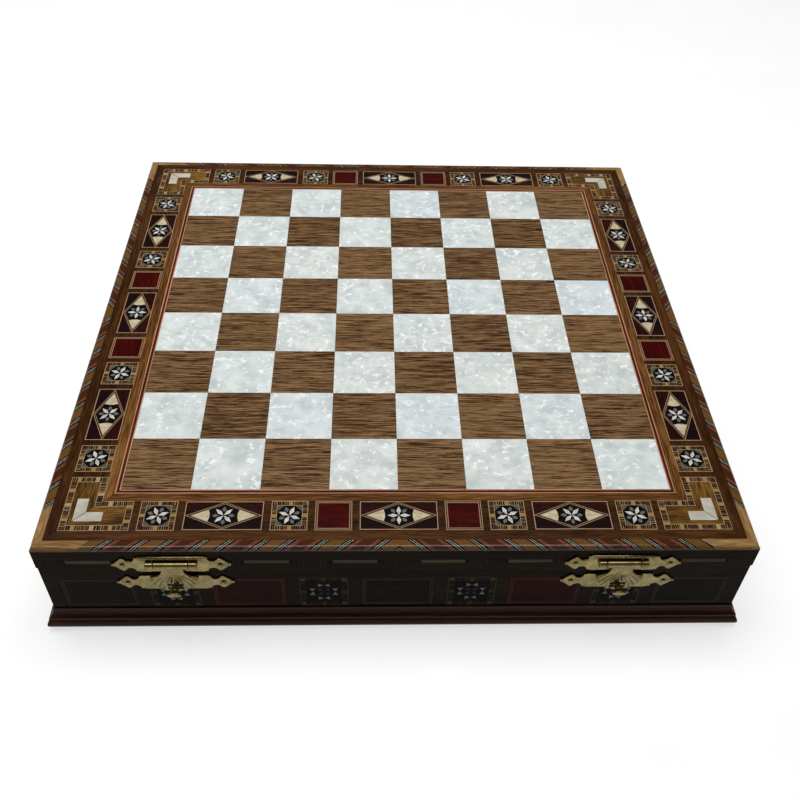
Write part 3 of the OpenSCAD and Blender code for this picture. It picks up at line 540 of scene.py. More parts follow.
def boards(name, spans, node):
    """Covered boards with rounded tops from spans of (start, end, middle, whether it runs along X),
    their covers with a slight swell."""
    half = DIVIDER_T / 2
    profile = [(half, DIVIDER_Z)] + arc(0.0, DIVIDER_TOP - half, half, 0, 180, 8) + [(-half, DIVIDER_Z)]
    count = len(profile)
    points, faces, smooth = [], [], []
    for start, end, middle, along_x in spans:
        steps = max(2, round((end - start) / 12))
        first = len(points)
        for k in range(steps + 1):
            u = start + (end - start) * k / steps
            swell = 0.06 * math.sin(2.1 * k + middle)
            ring = [(u, middle + across * (1 - abs(swell)), z) for across, z in profile]
            points += ring if along_x else [(y, x, z) for x, y, z in ring]
        faces += [[first + i for i in face] for face in tube(steps + 1, count)]
        smooth += [0 < k % count < count - 2 for k in range(steps * count)] + [False, False]
    mesh = bpy.data.meshes.new(name)
    mesh.from_pydata([Vector(point) * MM for point in points], [], faces)
    mesh.polygons.foreach_set("use_smooth", smooth)
    mesh.materials.append(velvet.made)
    settle(name, mesh, "box", "velvet", node)


boards("tray_long_dividers", [(-TRAY_HALF, TRAY_HALF, y, True) for y in LONG_Y], "long_dividers")
starts = [-TRAY_HALF] + [y + CELL_GAP for y in LONG_Y]
ends = [y - CELL_GAP for y in LONG_Y] + [TRAY_HALF]
cells = [(low, high, (k - 4) * CELL_PITCH, False) for low, high in zip(starts, ends) for k in range(1, 8)]
boards("tray_cross_dividers", cells, "cross_dividers")

# Lower plates of the two hasps
# Stamped from brass sheet with a finial at each end and pinned to the wood beside it;
# the edges are rounded by the stamp and the brass has dulled to a pale gold.

PLATE_T = 1.2
PLATE_H = 13.0
PLATE_HALF = 18.5
PLATE_PIN_X = 27.0
LOWER_PLATE_Z = 43.2
SHAFT_HOLE_R = 1.56
HANDS = ((-1, "left"), (1, "right"))

brass = Finish("dulled brass", **{"Metallic": 1.0, "Coat Weight": 0.12, "Coat Roughness": 0.12})
spot = brass.place()
dull = brass.cloud(spot, (5.0, 5.0, 5.0), 4.0, 0.6)
fine = brass.cloud(spot, (0.6, 0.6, 0.6), 2.0)
tarnish = brass.sum("ADD", brass.scaled(dull, 0.7), brass.scaled(fine, 0.3))
tones = [(0.3, shade(94, 83, 48)), (0.5, shade(123, 110, 67)), (0.7, shade(156, 141, 95))]
# Painted shade: the grooves and dishes of the stamped relief are darkened in the colour.
painted_shade = brass.node("Attribute", {}, attribute_name="groove_shade").outputs["Fac"]
colour = brass.over(brass.scaled(painted_shade, 0.85), brass.steps(tarnish, tones), shade(44, 36, 20))
brass.coat(colour, brass.limits(tarnish, 0.3, 0.7, 0.36, 0.2), fine, 0.01)
dress(brass, "lower_plate_pins")


def clamped(value):
    return max(0.0, min(1.0, value))


def nearest(point, a, b):
    """The point of the segment from a to b that lies nearest."""
    along = b - a
    return a + along * clamped((point - a).dot(along) / max(along.length_squared, 1e-12))


def crossings(point, rim):
    """How many edges of a rim a ray from the point towards +x crosses: an odd number inside it."""
    count = 0
    for a, b in zip(rim, rim[1:] + rim[:1]):
        if (a.y > point.y) != (b.y > point.y):
            count += point.x < a.x + (point.y - a.y) / (b.y - a.y) * (b.x - a.x)
    return count


def meshed(outline, holes, step, edge_r):
    """Fills an outline with small triangles, closer along its edges: the points, the triangles,
    the open edges and how far each point lies from the nearest edge."""
    rims = [outline] + holes
    spots, edges = [], []
    for rim in rims:
        start = len(spots)
        spots += [Vector(spot) for spot in rim]
        edges += [(start + k, start + (k + 1) % len(rim)) for k in range(len(rim))]
    segments = [(spots[a], spots[b]) for a, b in edges]

    def inset(point):
        return min((point - nearest(point, a, b)).length for a, b in segments)

    def inside(point):
        turns = [crossings(point, [Vector(s) for s in rim]) for rim in rims]
        return turns[0] % 2 == 1 and not any(turn % 2 for turn in turns[1:])

    inner = []
    for a, b in segments:
        across = Vector((a.y - b.y, b.x - a.x)).normalized()
        pieces = max(1, round((b - a).length / (step * 1.5)))
        for k in range(pieces):
            middle = a.lerp(b, (k + 0.5) / pieces)
            for depth in (edge_r * 0.35, edge_r):
                for way in (-1, 1):
                    point = middle + across * depth * way
                    if inside(point) and inset(point) > depth * 0.97:
                        inner.append(point)
    low = [min(s[i] for s in outline) for i in (0, 1)]
    high = [max(s[i] for s in outline) for i in (0, 1)]
    for j in range(int((high[1] - low[1]) / step) + 1):
        for i in range(int((high[0] - low[0]) / step) + 1):
            point = Vector((low[0] + (i + 0.5 * (j % 2)) * step, low[1] + j * step))
            if inside(point) and inset(point) > edge_r + step * 0.4:
                inner.append(point)
    found = delaunay_2d_cdt(spots + inner, edges, [], 0, 1e-5, False)
    cells = []
    for cell in found[2]:
        a, b, c = [found[0][i] for i in cell]
        if inside((a + b + c) / 3):
            cells.append(cell if (b - a).cross(c - a) > 0 else cell[::-1])
    seen = {(a, b) for cell in cells for a, b in zip(cell, cell[1:] + cell[:1])}
    rim = sorted((a, b) for a, b in seen if (b, a) not in seen)
    return found[0], cells, rim, [inset(point) for point in found[0]]


def two_faced(cells, rim, count):
    """Faces of a closed sheet whose second face has the same points, count places further on."""
    faces = [list(cell) for cell in cells] + [[i + count for i in reversed(cell)] for cell in cells]
    return faces + [[a, a + count, b + count, b] for a, b in rim]


def stamped(outline, holes, thick, step, relief, place, edge_r=0.4):
    """A stamped plate: an outline with holes, its edges eased. relief(x, y) gives how far its face is
    raised and how much painted shade darkens it there."""
    flat, cells, rim, insets = meshed(outline, holes, step, edge_r)
    heights, groove_shades = [], []
    for point, inset in zip(flat, insets):
        ease = min(1.0, inset / edge_r)
        raised, groove_shade = relief(*point)
        away = min(1.0, inset / (2 * edge_r))
        heights.append(thick - edge_r * (1 - math.sqrt(1 - (1 - ease) ** 2)) + raised * away)
        groove_shades.append(groove_shade * away)
    points = [place(*p, h) for p, h in zip(flat, heights)] + [place(*p, 0.0) for p in flat]
    return points, two_faced(cells, rim, len(flat)), groove_shades + [0.0] * len(flat)


def joined(name, parts, body, finish, slot, node):
    """One piece from lists of (points in millimetres, faces, painted shade in its hollows), smooth but for
    its sharp edges.
    """
    points, faces, groove_shades = [], [], []
    for some, cells, painted_shade in parts:
        faces += [[i + len(points) for i in cell] for cell in cells]
        points += [Vector(point) * MM for point in some]
        groove_shades += painted_shade
    mesh = bpy.data.meshes.new(name)
    mesh.from_pydata(points, [], faces)
    mesh.attributes.new("groove_shade", "FLOAT", "POINT").data.foreach_set("value", groove_shades)
    work = bmesh.new()
    work.from_mesh(mesh)
    bmesh.ops.delete(work, geom=[v for v in work.verts if not v.link_faces], context="VERTS")
    bmesh.ops.remove_doubles(work, verts=work.verts, dist=1e-7)
    work.to_mesh(mesh)
    work.free()
    mesh.materials.append(finish.made)
    mesh.shade_smooth()
    mesh.set_sharp_from_angle(angle=math.radians(38))
    settle(name, mesh, body, slot, node)


def plate_rim():
    """Outline of a plate: a straight middle, a round bite at each shoulder, then a leaf with a small knop."""
    upper = [(0.0, PLATE_H / 2), (PLATE_HALF - 0.6, PLATE_H / 2), (PLATE_HALF + 0.3, PLATE_H / 2 - 0.5)]
    upper += arc(22.8, 5.6, 2.7, 172, 318, 9)
    upper += [(25.6, 4.9), (26.5, 5.6), (27.3, 5.5), (28.4, 4.5), (29.6, 3.3), (30.7, 2.2), (31.5, 1.35)]
    upper += arc(32.1, 0.0, 1.1, 95, 0, 5)
    right = upper + [(x, -y) for x, y in reversed(upper[1:-1])] + [(0.0, -PLATE_H / 2)]
    return right + [(-x, y) for x, y in reversed(right[1:-1])]


def on_front(middle, face_r, face_z):
    """Placing of a plate on the front: x along it, y up, and the height of its face outwards."""
    return lambda x, y, out: (middle + x, -face_r - out, face_z + y)


def ridge(away, width):
    """1 on the crest of a ridge or in the depth of a groove, falling off at the sides."""
    return math.exp(-((away / width) ** 2))


def plate_relief(x, y):
    """A raised ring round each pin, with painted shade in its dish."""
    pin = math.hypot(abs(x) - PLATE_PIN_X, y)
    return 0.18 * ridge(pin - 2.3, 0.5), 0.8 * ridge(pin - 1.5, 0.5)


pin_holes = [disc(s * PLATE_PIN_X, 0.0, 0.75, 12) for s in (-1, 1)]
shaft_hole = disc(0.0, KNOB_Z - LOWER_PLATE_Z, SHAFT_HOLE_R)
for side, hand in HANDS:
    at = on_front(side * HASP_X, BOX_HALF, LOWER_PLATE_Z)
    plate = stamped(plate_rim(), pin_holes + [shaft_hole], PLATE_T, 0.9, plate_relief, at)
    joined("hasp_lower_plate_" + hand, [plate], "box", brass, "brass", "lower_plate_" + hand)

# Turn knobs of the hasps
# Turned brass shafts with a winged head, riveted behind the lower plate so that they turn.
# The wings stand along the flap's slot, and lock the flap when they are turned across it.

RIVET_BACK = 200.5
KNOB_BACK = 206.5
SHAFT_R = 1.5

knob_rings = [
    # Distance out, half width, half height and squareness, from the riveted end to the head
    (RIVET_BACK, 2.2, 2.2, 2.0), (RIVET_BACK + 0.15, 2.4, 2.4, 2.0), (RIVET_BACK + 0.85, 2.4, 2.4, 2.0),
    (RIVET_BACK + 0.94, 2.25, 2.25, 2.0), (RIVET_BACK + 0.95, SHAFT_R, SHAFT_R, 2.0),
    (KNOB_BACK, SHAFT_R, SHAFT_R, 2.0), (KNOB_BACK + 0.25, 2.05, 1.35, 2.0),
    (KNOB_BACK + 0.8, 2.3, 1.4, 2.1), (KNOB_BACK + 1.5, 2.25, 1.1, 2.2), (KNOB_BACK + 2.4, 2.7, 1.05, 2.4),
    (KNOB_BACK + 3.3, 3.4, 1.25, 2.6), (KNOB_BACK + 4.1, 3.9, 1.48, 2.7), (KNOB_BACK + 4.6, 3.98, 1.5, 2.7),
    (KNOB_BACK + 4.9, 3.7, 1.3, 2.6), (KNOB_BACK + 5.0, 3.2, 0.95, 2.4), (KNOB_BACK + 4.85, 1.6, 0.5, 2.2),
]
for side, hand in HANDS:
    points, count = [], 28
    for out, wide, high, square in knob_rings:
        for c, s in disc(0.0, 0.0, 1.0, count):
            x = math.copysign(abs(c) ** (2 / square), c) * wide
            z = math.copysign(abs(s) ** (2 / square), s) * high
            points.append((side * HASP_X + x, -out, KNOB_Z + z))
    turned = [(points, tube(len(knob_rings), count), [0.0] * len(points))]
    joined("hasp_knob_" + hand, turned, "knob_" + hand, brass, "brass", "turn_knob_" + hand)

# Hinges at the back
# Two brass butt hinges, let into the edges of the box and the lid, each held by
# three countersunk screws in either leaf.

dress(brass, "hinge_box_leaves", "hinge_lid_leaves", "hinge_box_screws", "hinge_lid_screws", "hinge_pins")

# The chessmen
# Turned and carved, the light men in boxwood and the dark ones in rosewood, and waxed.
# They lie in the tray, one to a cell, with their heads towards the middle.

WAX = {"Specular IOR Level": 0.4, "Coat Weight": 0.15, "Coat Roughness": 0.2}

boxwood = wood(
    "waxed boxwood",
    ((178, 128, 70), (202, 154, 94), (218, 176, 118), (150, 102, 54)),
    "y", streak=1.0, length=26.0, open_pores=0.25, gloss=0.32, **WAX,
)
rosewood = wood(
    "waxed rosewood",
    ((40, 17, 12), (68, 31, 20), (98, 50, 32), (24, 10, 8)),
    "y", streak=1.2, length=24.0, open_pores=0.5, gloss=0.3, **WAX,
)
for finish, tone in ((boxwood, "light"), (rosewood, "dark")):
    dress(finish, *[f"{tone}_{man}" for man in ("king", "queen", "bishops", "rooks", "pawns")])

# Knights
# A turned foot and collar under a head that was sawn to its outline and carved: rounded edges,
# a cheek, an eye, a nostril and a mouth, and the locks of the mane cut with a gouge.

KNIGHT_X = 117.81
KNIGHT_Y = 142.96
KNIGHT_Z = 7.2
KNIGHT_BACK = 27.15
KNIGHT_RISE = 13.67
KNIGHT_LEAN = 9.14
HEAD_Z = 10.6
HEAD_HALF = 4.6


def smooth_step(value, low, high):
    share = clamped((value - low) / (high - low))
    return share * share * (3 - 2 * share)


head_rim = [
    # The head's outline from the side, its muzzle towards +x
    (8.0, 0.0), (8.5, 3.0), (8.0, 7.0), (6.4, 10.8), (4.4, 14.2), (3.6, 17.2), (4.8, 18.9), (7.2, 18.6),
    (9.4, 17.8), (11.0, 18.1), (12.0, 19.3), (11.9, 20.5), (12.4, 21.6), (12.5, 23.6), (11.9, 26.0),
    (10.3, 28.6), (8.3, 31.6), (6.6, 34.6), (5.6, 37.4), (4.4, 39.8), (3.5, 41.4), (2.7, 44.4),
    (1.7, 43.6), (0.8, 41.2), (-1.4, 40.4), (-4.0, 38.4), (-6.2, 35.4), (-7.9, 31.6), (-9.0, 27.2),
    (-9.6, 22.4), (-9.6, 17.4), (-9.2, 12.0), (-8.7, 6.0), (-8.3, 0.0),
]


def head_half(x, z, away):
    """Half the head's thickness at a point that lies away from the outline."""
    full = HEAD_HALF - 1.5 * smooth_step(x, 2.0, 11.5) * smooth_step(z, 13.0, 18.0)
    half = full * (0.34 + 0.66 * math.sqrt(1 - (1 - min(1.0, away / 3.6)) ** 2))
    cheek = math.hypot(x - 3.4, z - 24.4)
    half += 0.5 * (1 - smooth_step(cheek, 3.4, 4.8))
    half -= 0.5 * ridge(cheek - 5.0, 0.5) * smooth_step(x, -1.0, 1.0)
    eye = math.hypot(x - 5.6, z - 31.4)
    half += 0.5 * ridge(eye, 0.8) - 0.5 * ridge(eye - 1.5, 0.42)
    nostril = math.hypot(x - 10.9, z - 24.0)
    half -= 0.6 * ridge(nostril, 0.65)
    mouth = z - 20.5 - 0.12 * (12 - x)
    half -= 0.5 * ridge(mouth, 0.32) * smooth_step(x, 7.6, 9.0)
    border = -3.9 + 3.6 * smooth_step(z, 25.0, 40.0)
    lock = 0.5 + 0.5 * math.cos(math.tau * (z + 0.75 * x) / 3.2)
    half += (0.75 * lock ** 0.7 - 0.5) * smooth_step(border - x, 0.0, 0.8) * smooth_step(z, 3.0, 6.0)
    half -= 0.5 * ridge(x - border, 0.4) * smooth_step(z, 3.0, 6.0)
    return max(0.5, min(5.0, half))


def carved_head():
    flat, cells, rim, insets = meshed(head_rim, [], 0.75, 1.6)
    halves = [head_half(*point, inset) for point, inset in zip(flat, insets)]
    points = [(p[0], way * half, HEAD_Z + p[1]) for way in (-1, 1) for p, half in zip(flat, halves)]
    return points, two_faced(cells, rim, len(flat)), [0.0] * len(points)


def turned_foot():
    """The foot from its profile: a rounded base, a ring, a cove and the collar."""
    profile = [(6.0, 0.35), (9.0, 0.0)] + arc(11.5, 2.0, 2.0, -90, 90, 8) + [(10.5, 4.0)]
    profile += arc(9.8, 5.3, 1.3, -80, 90, 6) + [(9.25, 6.62), (8.75, 7.4), (8.45, 8.4), (8.4, 9.6)]
    profile += arc(8.1, 10.7, 1.1, -75, 90, 6)
    count = 40
    points = [(x, y, z) for radius, z in profile for x, y in disc(0.0, 0.0, radius, count)]
    return points, tube(len(profile), count), [0.0] * len(points)


knight_parts = [turned_foot(), carved_head()]
tipped = Matrix.Rotation(-math.radians(90 + KNIGHT_LEAN), 4, "X")
lain = Matrix.Translation((0, -KNIGHT_BACK, KNIGHT_RISE)) @ tipped
for finish, tone, slot, half in ((boxwood, "light", "boxwood", -1), (rosewood, "dark", "rosewood", 1)):
    facing = Matrix.Rotation(math.pi if half > 0 else 0.0, 4, "Z")
    parts = []
    for side in (-1, 1):
        at = Matrix.Translation((side * KNIGHT_X, half * KNIGHT_Y, KNIGHT_Z)) @ facing @ lain
        for points, faces, painted_shade in knight_parts:
            parts.append(([at @ Vector(point) for point in points], faces, painted_shade))
    joined(tone + "_carved_knights", parts, "box", finish, slot, tone + "_knights")

# Frame of the lid
# Four walnut rails, mitred and glued round a plywood panel, with a groove for the line of inlay.
# The rails are stained and lacquered like the sides of the box.

dress(dark_walnut, "lid_rail_front", "lid_rail_back", "lid_rail_left", "lid_rail_right")
dress(birch, "lid_panel")

# Lining of the lid
# A second piece of the velvet, glued under the panel and down the inside of the rails.

back = flat_rings(65.4) + [
    (187.5, 3.0, 65.4, 0.0), (189.2, 1.6, 64.6, 0.0), (189.85, 1.0, 63.2, 0.0),
    (189.85, 1.0, 60.0, 0.0), (189.85, 1.0, 56.8, 0.0),
]
face = flat_rings(64.5, 0.04) + [
    (186.6, 3.0, 64.5, 0.0), (188.2, 1.8, 63.8, 0.0), (188.95, 1.2, 62.4, 0.0),
    (188.95, 1.2, 60.0, 0.05), (188.95, 1.2, 57.3, 0.0), (189.3, 1.2, 56.76, 0.0),
]
lid_velvet = settle("lid_velvet", tray_sheet("lid_velvet", back, face), "lid", "velvet", "lid_lining")

# Light squares of the board
# Thirty-two squares sawn from pearled sheet: bluish white, with bright flakes of shell
# frozen in it, butted against the walnut and polished.

SQUARE = 40.0

pearl = Finish("pearled squares", **{"Specular IOR Level": 0.4, "Coat Weight": 0.15, "Coat Roughness": 0.06})
x, y, z = pearl.place()
column = pearl.sum("FLOOR", pearl.scaled(x, 1 / SQUARE))
row = pearl.sum("FLOOR", pearl.scaled(y, 1 / SQUARE))
lot = pearl.node("TexWhiteNoise", {"Vector": pearl.vector(column, row, 1.0)}, noise_dimensions="3D")
lot = lot.outputs["Value"]
spot = [pearl.sum("ADD", x, pearl.scaled(lot, 500.0)), pearl.sum("ADD", y, pearl.scaled(lot, 830.0)), z]
drift = [pearl.cloud(spot, lengths, 2.0) for lengths in ((5.0, 7.0, 7.0), (8.0, 5.0, 7.0))]
curled = [pearl.sum("ADD", part, pearl.scaled(turn, 11.0)) for part, turn in zip(spot, drift)]


def flakes(width, length):
    """Where curled flakes lie: how near a spot is to a flake's edge, and a number of the flake's own."""
    at = pearl.vector(pearl.scaled(curled[0], 1 / length), pearl.scaled(curled[1], 1 / width), 0.0)
    inputs = {"Vector": at, "Scale": 1.0, "Randomness": 1.0}
    edge = pearl.node("TexVoronoi", inputs, voronoi_dimensions="2D", feature="DISTANCE_TO_EDGE")
    own = pearl.node("TexVoronoi", inputs, voronoi_dimensions="2D").outputs["Color"]
    return edge.outputs["Distance"], pearl.node("SeparateXYZ", {0: own}).outputs[0]


broad_edge, broad_own = flakes(5.0, 8.0)
small_edge, small_own = flakes(2.6, 4.4)
patchy = pearl.cloud(spot, (4.6, 4.6, 4.6), 1.0)
crowd = pearl.cloud(spot, (13.0, 13.0, 13.0), 1.0)
curls = pearl.sum("MULTIPLY", pearl.limits(broad_edge, 0.14, 0.03), pearl.limits(patchy, 0.5, 0.61))
curls = pearl.sum("MULTIPLY", curls, pearl.limits(crowd, 0.37, 0.47))
chips = pearl.sum("MULTIPLY", pearl.limits(small_edge, 0.16, 0.05), pearl.limits(patchy, 0.56, 0.66))
chips = pearl.sum("MULTIPLY", chips, pearl.limits(crowd, 0.46, 0.56))
glint = pearl.sum("MAXIMUM", curls, chips)
milk = pearl.cloud(spot, (10.0, 10.0, 10.0), 3.0)
body = pearl.sum("ADD", pearl.scaled(milk, 0.7), pearl.scaled(broad_own, 0.12))
body = pearl.sum("ADD", body, pearl.scaled(small_own, 0.1))
whites = [(0.3, shade(196, 205, 204)), (0.46, shade(213, 221, 219)), (0.64, shade(230, 235, 233))]
tints = [(0.0, (1.02, 1.0, 0.975, 1)), (0.5, (1.0, 1.0, 1.0, 1)), (1.0, (0.975, 0.99, 1.035, 1))]
colour = pearl.over(1.0, pearl.steps(body, whites), pearl.steps(lot, tints), "MULTIPLY")
colour = pearl.over(pearl.scaled(glint, 0.9), colour, shade(255, 255, 254))
pearl.coat(colour, pearl.limits(glint, 0.0, 1.0, 0.24, 0.16))
dress(pearl, "light_squares")

# Dark squares of the board
# Thirty-two squares of walnut veneer, with the grain running across the board,
# each cut from its own part of the sheet, so that their tones differ a little.

walnut_square = wood(
    "walnut veneer squares",
    ((52, 30, 13), (101, 71, 43), (144, 112, 76), (40, 22, 10)),
    "x", streak=0.36, length=15.0, open_pores=0.7, gloss=0.22, cell=SQUARE, spread=0.042,
    **{"Specular IOR Level": 0.12, "Coat Weight": 0.06, "Coat Roughness": 0.05},
)
dress(walnut_square, "dark_squares")

# Lines and strips round the squares
# A red line between two pale ones, then walnut strips either side of the band of tiles,
# all glued down as thin sawn strips with mitred corners.

TOP_LACQUER = {"Specular IOR Level": 0.1, "Coat Weight": 0.05, "Coat Roughness": 0.05}

pale_line = wood(
    "pale maple line",
    ((148, 110, 80), (182, 142, 110), (204, 166, 132), (120, 82, 56)),
    "frame", streak=0.8, length=18.0, open_pores=0.3, gloss=0.2, **TOP_LACQUER,
)
red_line = wood(
    "red wood line",
    ((54, 12, 4), (84, 22, 9), (108, 36, 17), (34, 9, 3)),
    "frame", streak=0.8, length=18.0, open_pores=0.3, gloss=0.2, **TOP_LACQUER,
)
strip_walnut = wood(
    "walnut border strips",
    ((50, 28, 10), (82, 53, 25), (114, 80, 44), (34, 18, 6)),
    "frame", streak=1.0, length=18.0, open_pores=0.5, gloss=0.2, spread=0.12, **TOP_LACQUER,
)
far = strip_walnut.place()[:2]
far = strip_walnut.sum("MAXIMUM", *[strip_walnut.sum("ABSOLUTE", part) for part in far])
far = strip_walnut.limits(far, 160.0, 200.0)
lots = [(0.0, (1.45, 1.35, 1.15, 1)), (0.2125, (0.42, 0.34, 0.24, 1)), (0.7375, (0.6, 0.47, 0.3, 1))]
lots = strip_walnut.steps(far, lots)
lots.node.color_ramp.interpolation = "CONSTANT"
plain = strip_walnut.surface.inputs["Base Color"].links[0].from_socket
strip_walnut.coat(strip_walnut.over(1.0, plain, lots, "MULTIPLY"))
dress(pale_line, "light_lines")
dress(red_line, "red_lines")
dress(strip_walnut, "border_strips")

# Star tiles of the border
# Square tiles of marquetry: an eight-pointed star of shell in a black octagon, inside a
# border of thin end-grain slips, sawn as sheets from a glued-up block.

TOP_Z = 74.0
INLAY_T = 2.5
BAND_MIDDLE = 179.0
BAND_HALF = 10.45
STAR_X = (-136.0, -62.0, 62.0, 136.0)
STAR_BORDER = 0.45
STAR_RING = 7.35
STAR_FIELD = 7.05
STAR_REACH = 6.6

MOSS = shade(70, 72, 42)
GREY = shade(108, 106, 104)
SLATE = shade(84, 86, 74)


def lacquered(name, dark, light, lengths, gloss):
    """A plain inlay under lacquer: two tones in soft patches."""
    made = Finish(name, **TOP_LACQUER)
    figure = made.cloud(made.place(), lengths, 3.0)
    made.coat(made.steps(figure, [(0.35, shade(*dark)), (0.65, shade(*light))]), gloss)
    return made


slip = dyed("dyed slips of wood", **TOP_LACQUER)
shell = lacquered("mother of pearl", (178, 176, 168), (214, 212, 205), (3.5, 2.5, 3.0), 0.16)
INLAYS.update({"slip": slip, "shell": shell})


def on_top(turn, middle, across=-BAND_MIDDLE):
    """Placing on the lid's face: x runs along a side, y towards the middle of the board."""
    spin = quarter(turn)
    return lambda x, y, deep: spin @ Vector((middle + x, across + y, TOP_Z - deep))


def octagon(half):
    short = half * math.tan(math.pi / 8)
    return [
        (half, -short), (half, short), (short, half), (-short, half),
        (-half, short), (-half, -short), (-short, -half), (short, -half),
    ]


def star(turn):
    """Four long rhombi of shell and four short grey kites about one middle; turn is in degrees."""
    slips, reach = [], STAR_REACH
    for k in range(4):
        ray, gap = math.radians(turn + 90 * k), math.radians(turn + 45 + 90 * k)
        slips.append((kite(ray, 0.25, reach * 0.5, reach, reach * 0.2), "shell", None))
        slips.append((kite(gap, reach * 0.4, reach * 0.7, reach * 0.98, reach * 0.19), "slip", GREY))
    return slips


def star_tile(draw, turn):
    half = BAND_HALF
    edge = half - STAR_BORDER
    slips = [(inset_rect(half, half), "slip", LINE), (inset_rect(half, half, STAR_BORDER), "slip", UMBER)]
    for s in (-1, 1):
        low, high = sorted((s * edge, s * STAR_RING))
        slips += ticks(draw, -edge, edge, low, high, [(draw.uniform(-0.5, 0.5), 2.3, STRAW)])
        blocks = [(draw.uniform(-0.4, 0.4), 2.3, STRAW), (draw.choice((-1, 1)) * 6.2, 1.6, MOSS)]
        slips += ticks(draw, -STAR_RING, STAR_RING, low, high, blocks, True)
    slips.append((inset_rect(STAR_RING, STAR_RING), "slip", LINE))
    slips.append((inset_rect(STAR_FIELD, STAR_FIELD), "slip", SLATE))
    slips.append((octagon(STAR_FIELD), "slip", JET))
    return slips + star(turn)


stars = Marquetry()
for turn in range(4):
    for k, x in enumerate(STAR_X):
        stars.lay(star_tile(chance, 67.5 if (k + turn) % 2 else 22.5), on_top(turn, x), INLAY_T)
stars.piece("border_star_tiles", "lid", "marquetry", "star_tiles")

# Diamond tiles of the border
# Long tiles with a diamond in double pale lines on a dark red ground; bone fills its ends,
# and a star of shell in a black field its middle.

DIAMOND_L = 44.9
DIAMOND_X = (-99.0, 0.0, 99.0)
DIAMOND_LEAN = 2.45
BONE_MOUTH = 8.7

bone = lacquered("bone", (176, 162, 128), (206, 196, 168), (5.0, 2.0, 2.0), 0.2)
wine = wood(
    "dark red ground",
    ((24, 5, 3), (38, 8, 5), (54, 14, 9), (12, 4, 3)),
    "frame", streak=1.2, length=14.0, gloss=0.2, **TOP_LACQUER,
)
dusk = lacquered("very dark red ground", (14, 7, 6), (30, 9, 8), (16.0, 2.0, 2.0), 0.2)
INLAYS.update({"bone": bone, "wine": wine, "dusk": dusk})


def diamond(half_l, half_h):
    return [(-half_l, 0), (0, -half_h), (half_l, 0), (0, half_h)]


def diamond_tile(turn):
    half_l, half = DIAMOND_L / 2, BAND_HALF
    inner_l, inner = half_l - 0.85, half - 0.85
    slips = [(inset_rect(half_l, half), "slip", UMBER), (inset_rect(half_l, half, 0.3), "slip", LINE)]
    slips.append((inset_rect(inner_l, inner), "wine", None))
    slips.append((rect(-inner_l, -inner, inner_l, 0), "dusk", None))
    for inset, colour in ((0.0, LINE), (0.35, UMBER), (1.1, LINE), (1.42, INK)):
        slips.append((diamond(inner_l - inset * DIAMOND_LEAN, inner - inset), "slip", colour))
    tip = inner_l - 1.5 * DIAMOND_LEAN
    high = (tip - BONE_MOUTH) * (inner - 1.5) / tip
    hollow, waist = BONE_MOUTH - 0.8, high * 0.35
    for s in (-1, 1):
        outline = [(tip, 0), (BONE_MOUTH, high), (hollow, waist), (hollow, -waist), (BONE_MOUTH, -high)]
        slips.append(([(s * x, y) for x, y in outline][::s], "bone", None))
    return slips + star(turn)


diamonds = Marquetry()
for turn in range(4):
    for x in DIAMOND_X:
        diamonds.lay(diamond_tile(0.0 if x == 0 else 45.0), on_top(turn, x), INLAY_T)
diamonds.piece("border_diamond_tiles", "lid", "marquetry", "diamond_tiles")

# Red tiles of the border
# Squares of dark red wood inside a double pale line.

RED_X = (-37.0, 37.0)

padauk = wood(
    "red wood panel",
    ((38, 2, 1), (56, 3, 1), (78, 8, 4), (22, 2, 1)),
    "frame", streak=1.2, length=20.0, gloss=0.2, **{**TOP_LACQUER, "Specular IOR Level": 0.08},
)
INLAYS["red"] = padauk
red_rings = ((0.0, "slip", LINE), (0.45, "slip", UMBER), (1.1, "slip", LINE), (1.55, "red", None))

reds = Marquetry()
for turn in range(4):
    for x in RED_X:
        slips = [(inset_rect(BAND_HALF, BAND_HALF, inset), stuff, dye) for inset, stuff, dye in red_rings]
        reds.lay(slips, on_top(turn, x), INLAY_T)
reds.piece("border_red_tiles", "lid", "redwood", "red_tiles")

# Corner tiles of the border
# L-shaped tiles of honey-coloured walnut with a mitred angle of pearl shell,
# bordered all round by a band of thin slips and pale blocks.

CORNER_LEG = 38.95
CORNER_W = 20.95
CORNER_AT = 189.5
CORNER_LINE = 0.35
CORNER_ROW = 3.2

honey = wood(
    "honey walnut",
    ((60, 37, 10), (98, 68, 25), (128, 92, 40), (42, 25, 8)),
    "frame", streak=0.9, length=9.0, open_pores=0.5, gloss=0.2, spread=0.1, **TOP_LACQUER,
)
slab = lacquered("pearl shell slab", (178, 174, 158), (200, 197, 184), (9.0, 5.0, 6.0), 0.16)
INLAYS.update({"honey": honey, "slab": slab})


def angle_outline(inset):
    """The corner tile's outline, drawn in by an inset; its outer corner is at the origin."""
    a, b, c = 0.05 + inset, CORNER_W - inset, CORNER_LEG - inset
    return [(a, a), (c, a), (c, b), (b, b), (b, c), (a, c)]


def pale_blocks(start, end, draw):
    """Blocks for a row of ticks, from start on, 10.4 mm apart."""
    spots, x = [], start
    while x < end:
        spots.append((x, 2.3, draw.choice((STRAW, STRAW, CREAM))))
        x += 10.4
    return spots


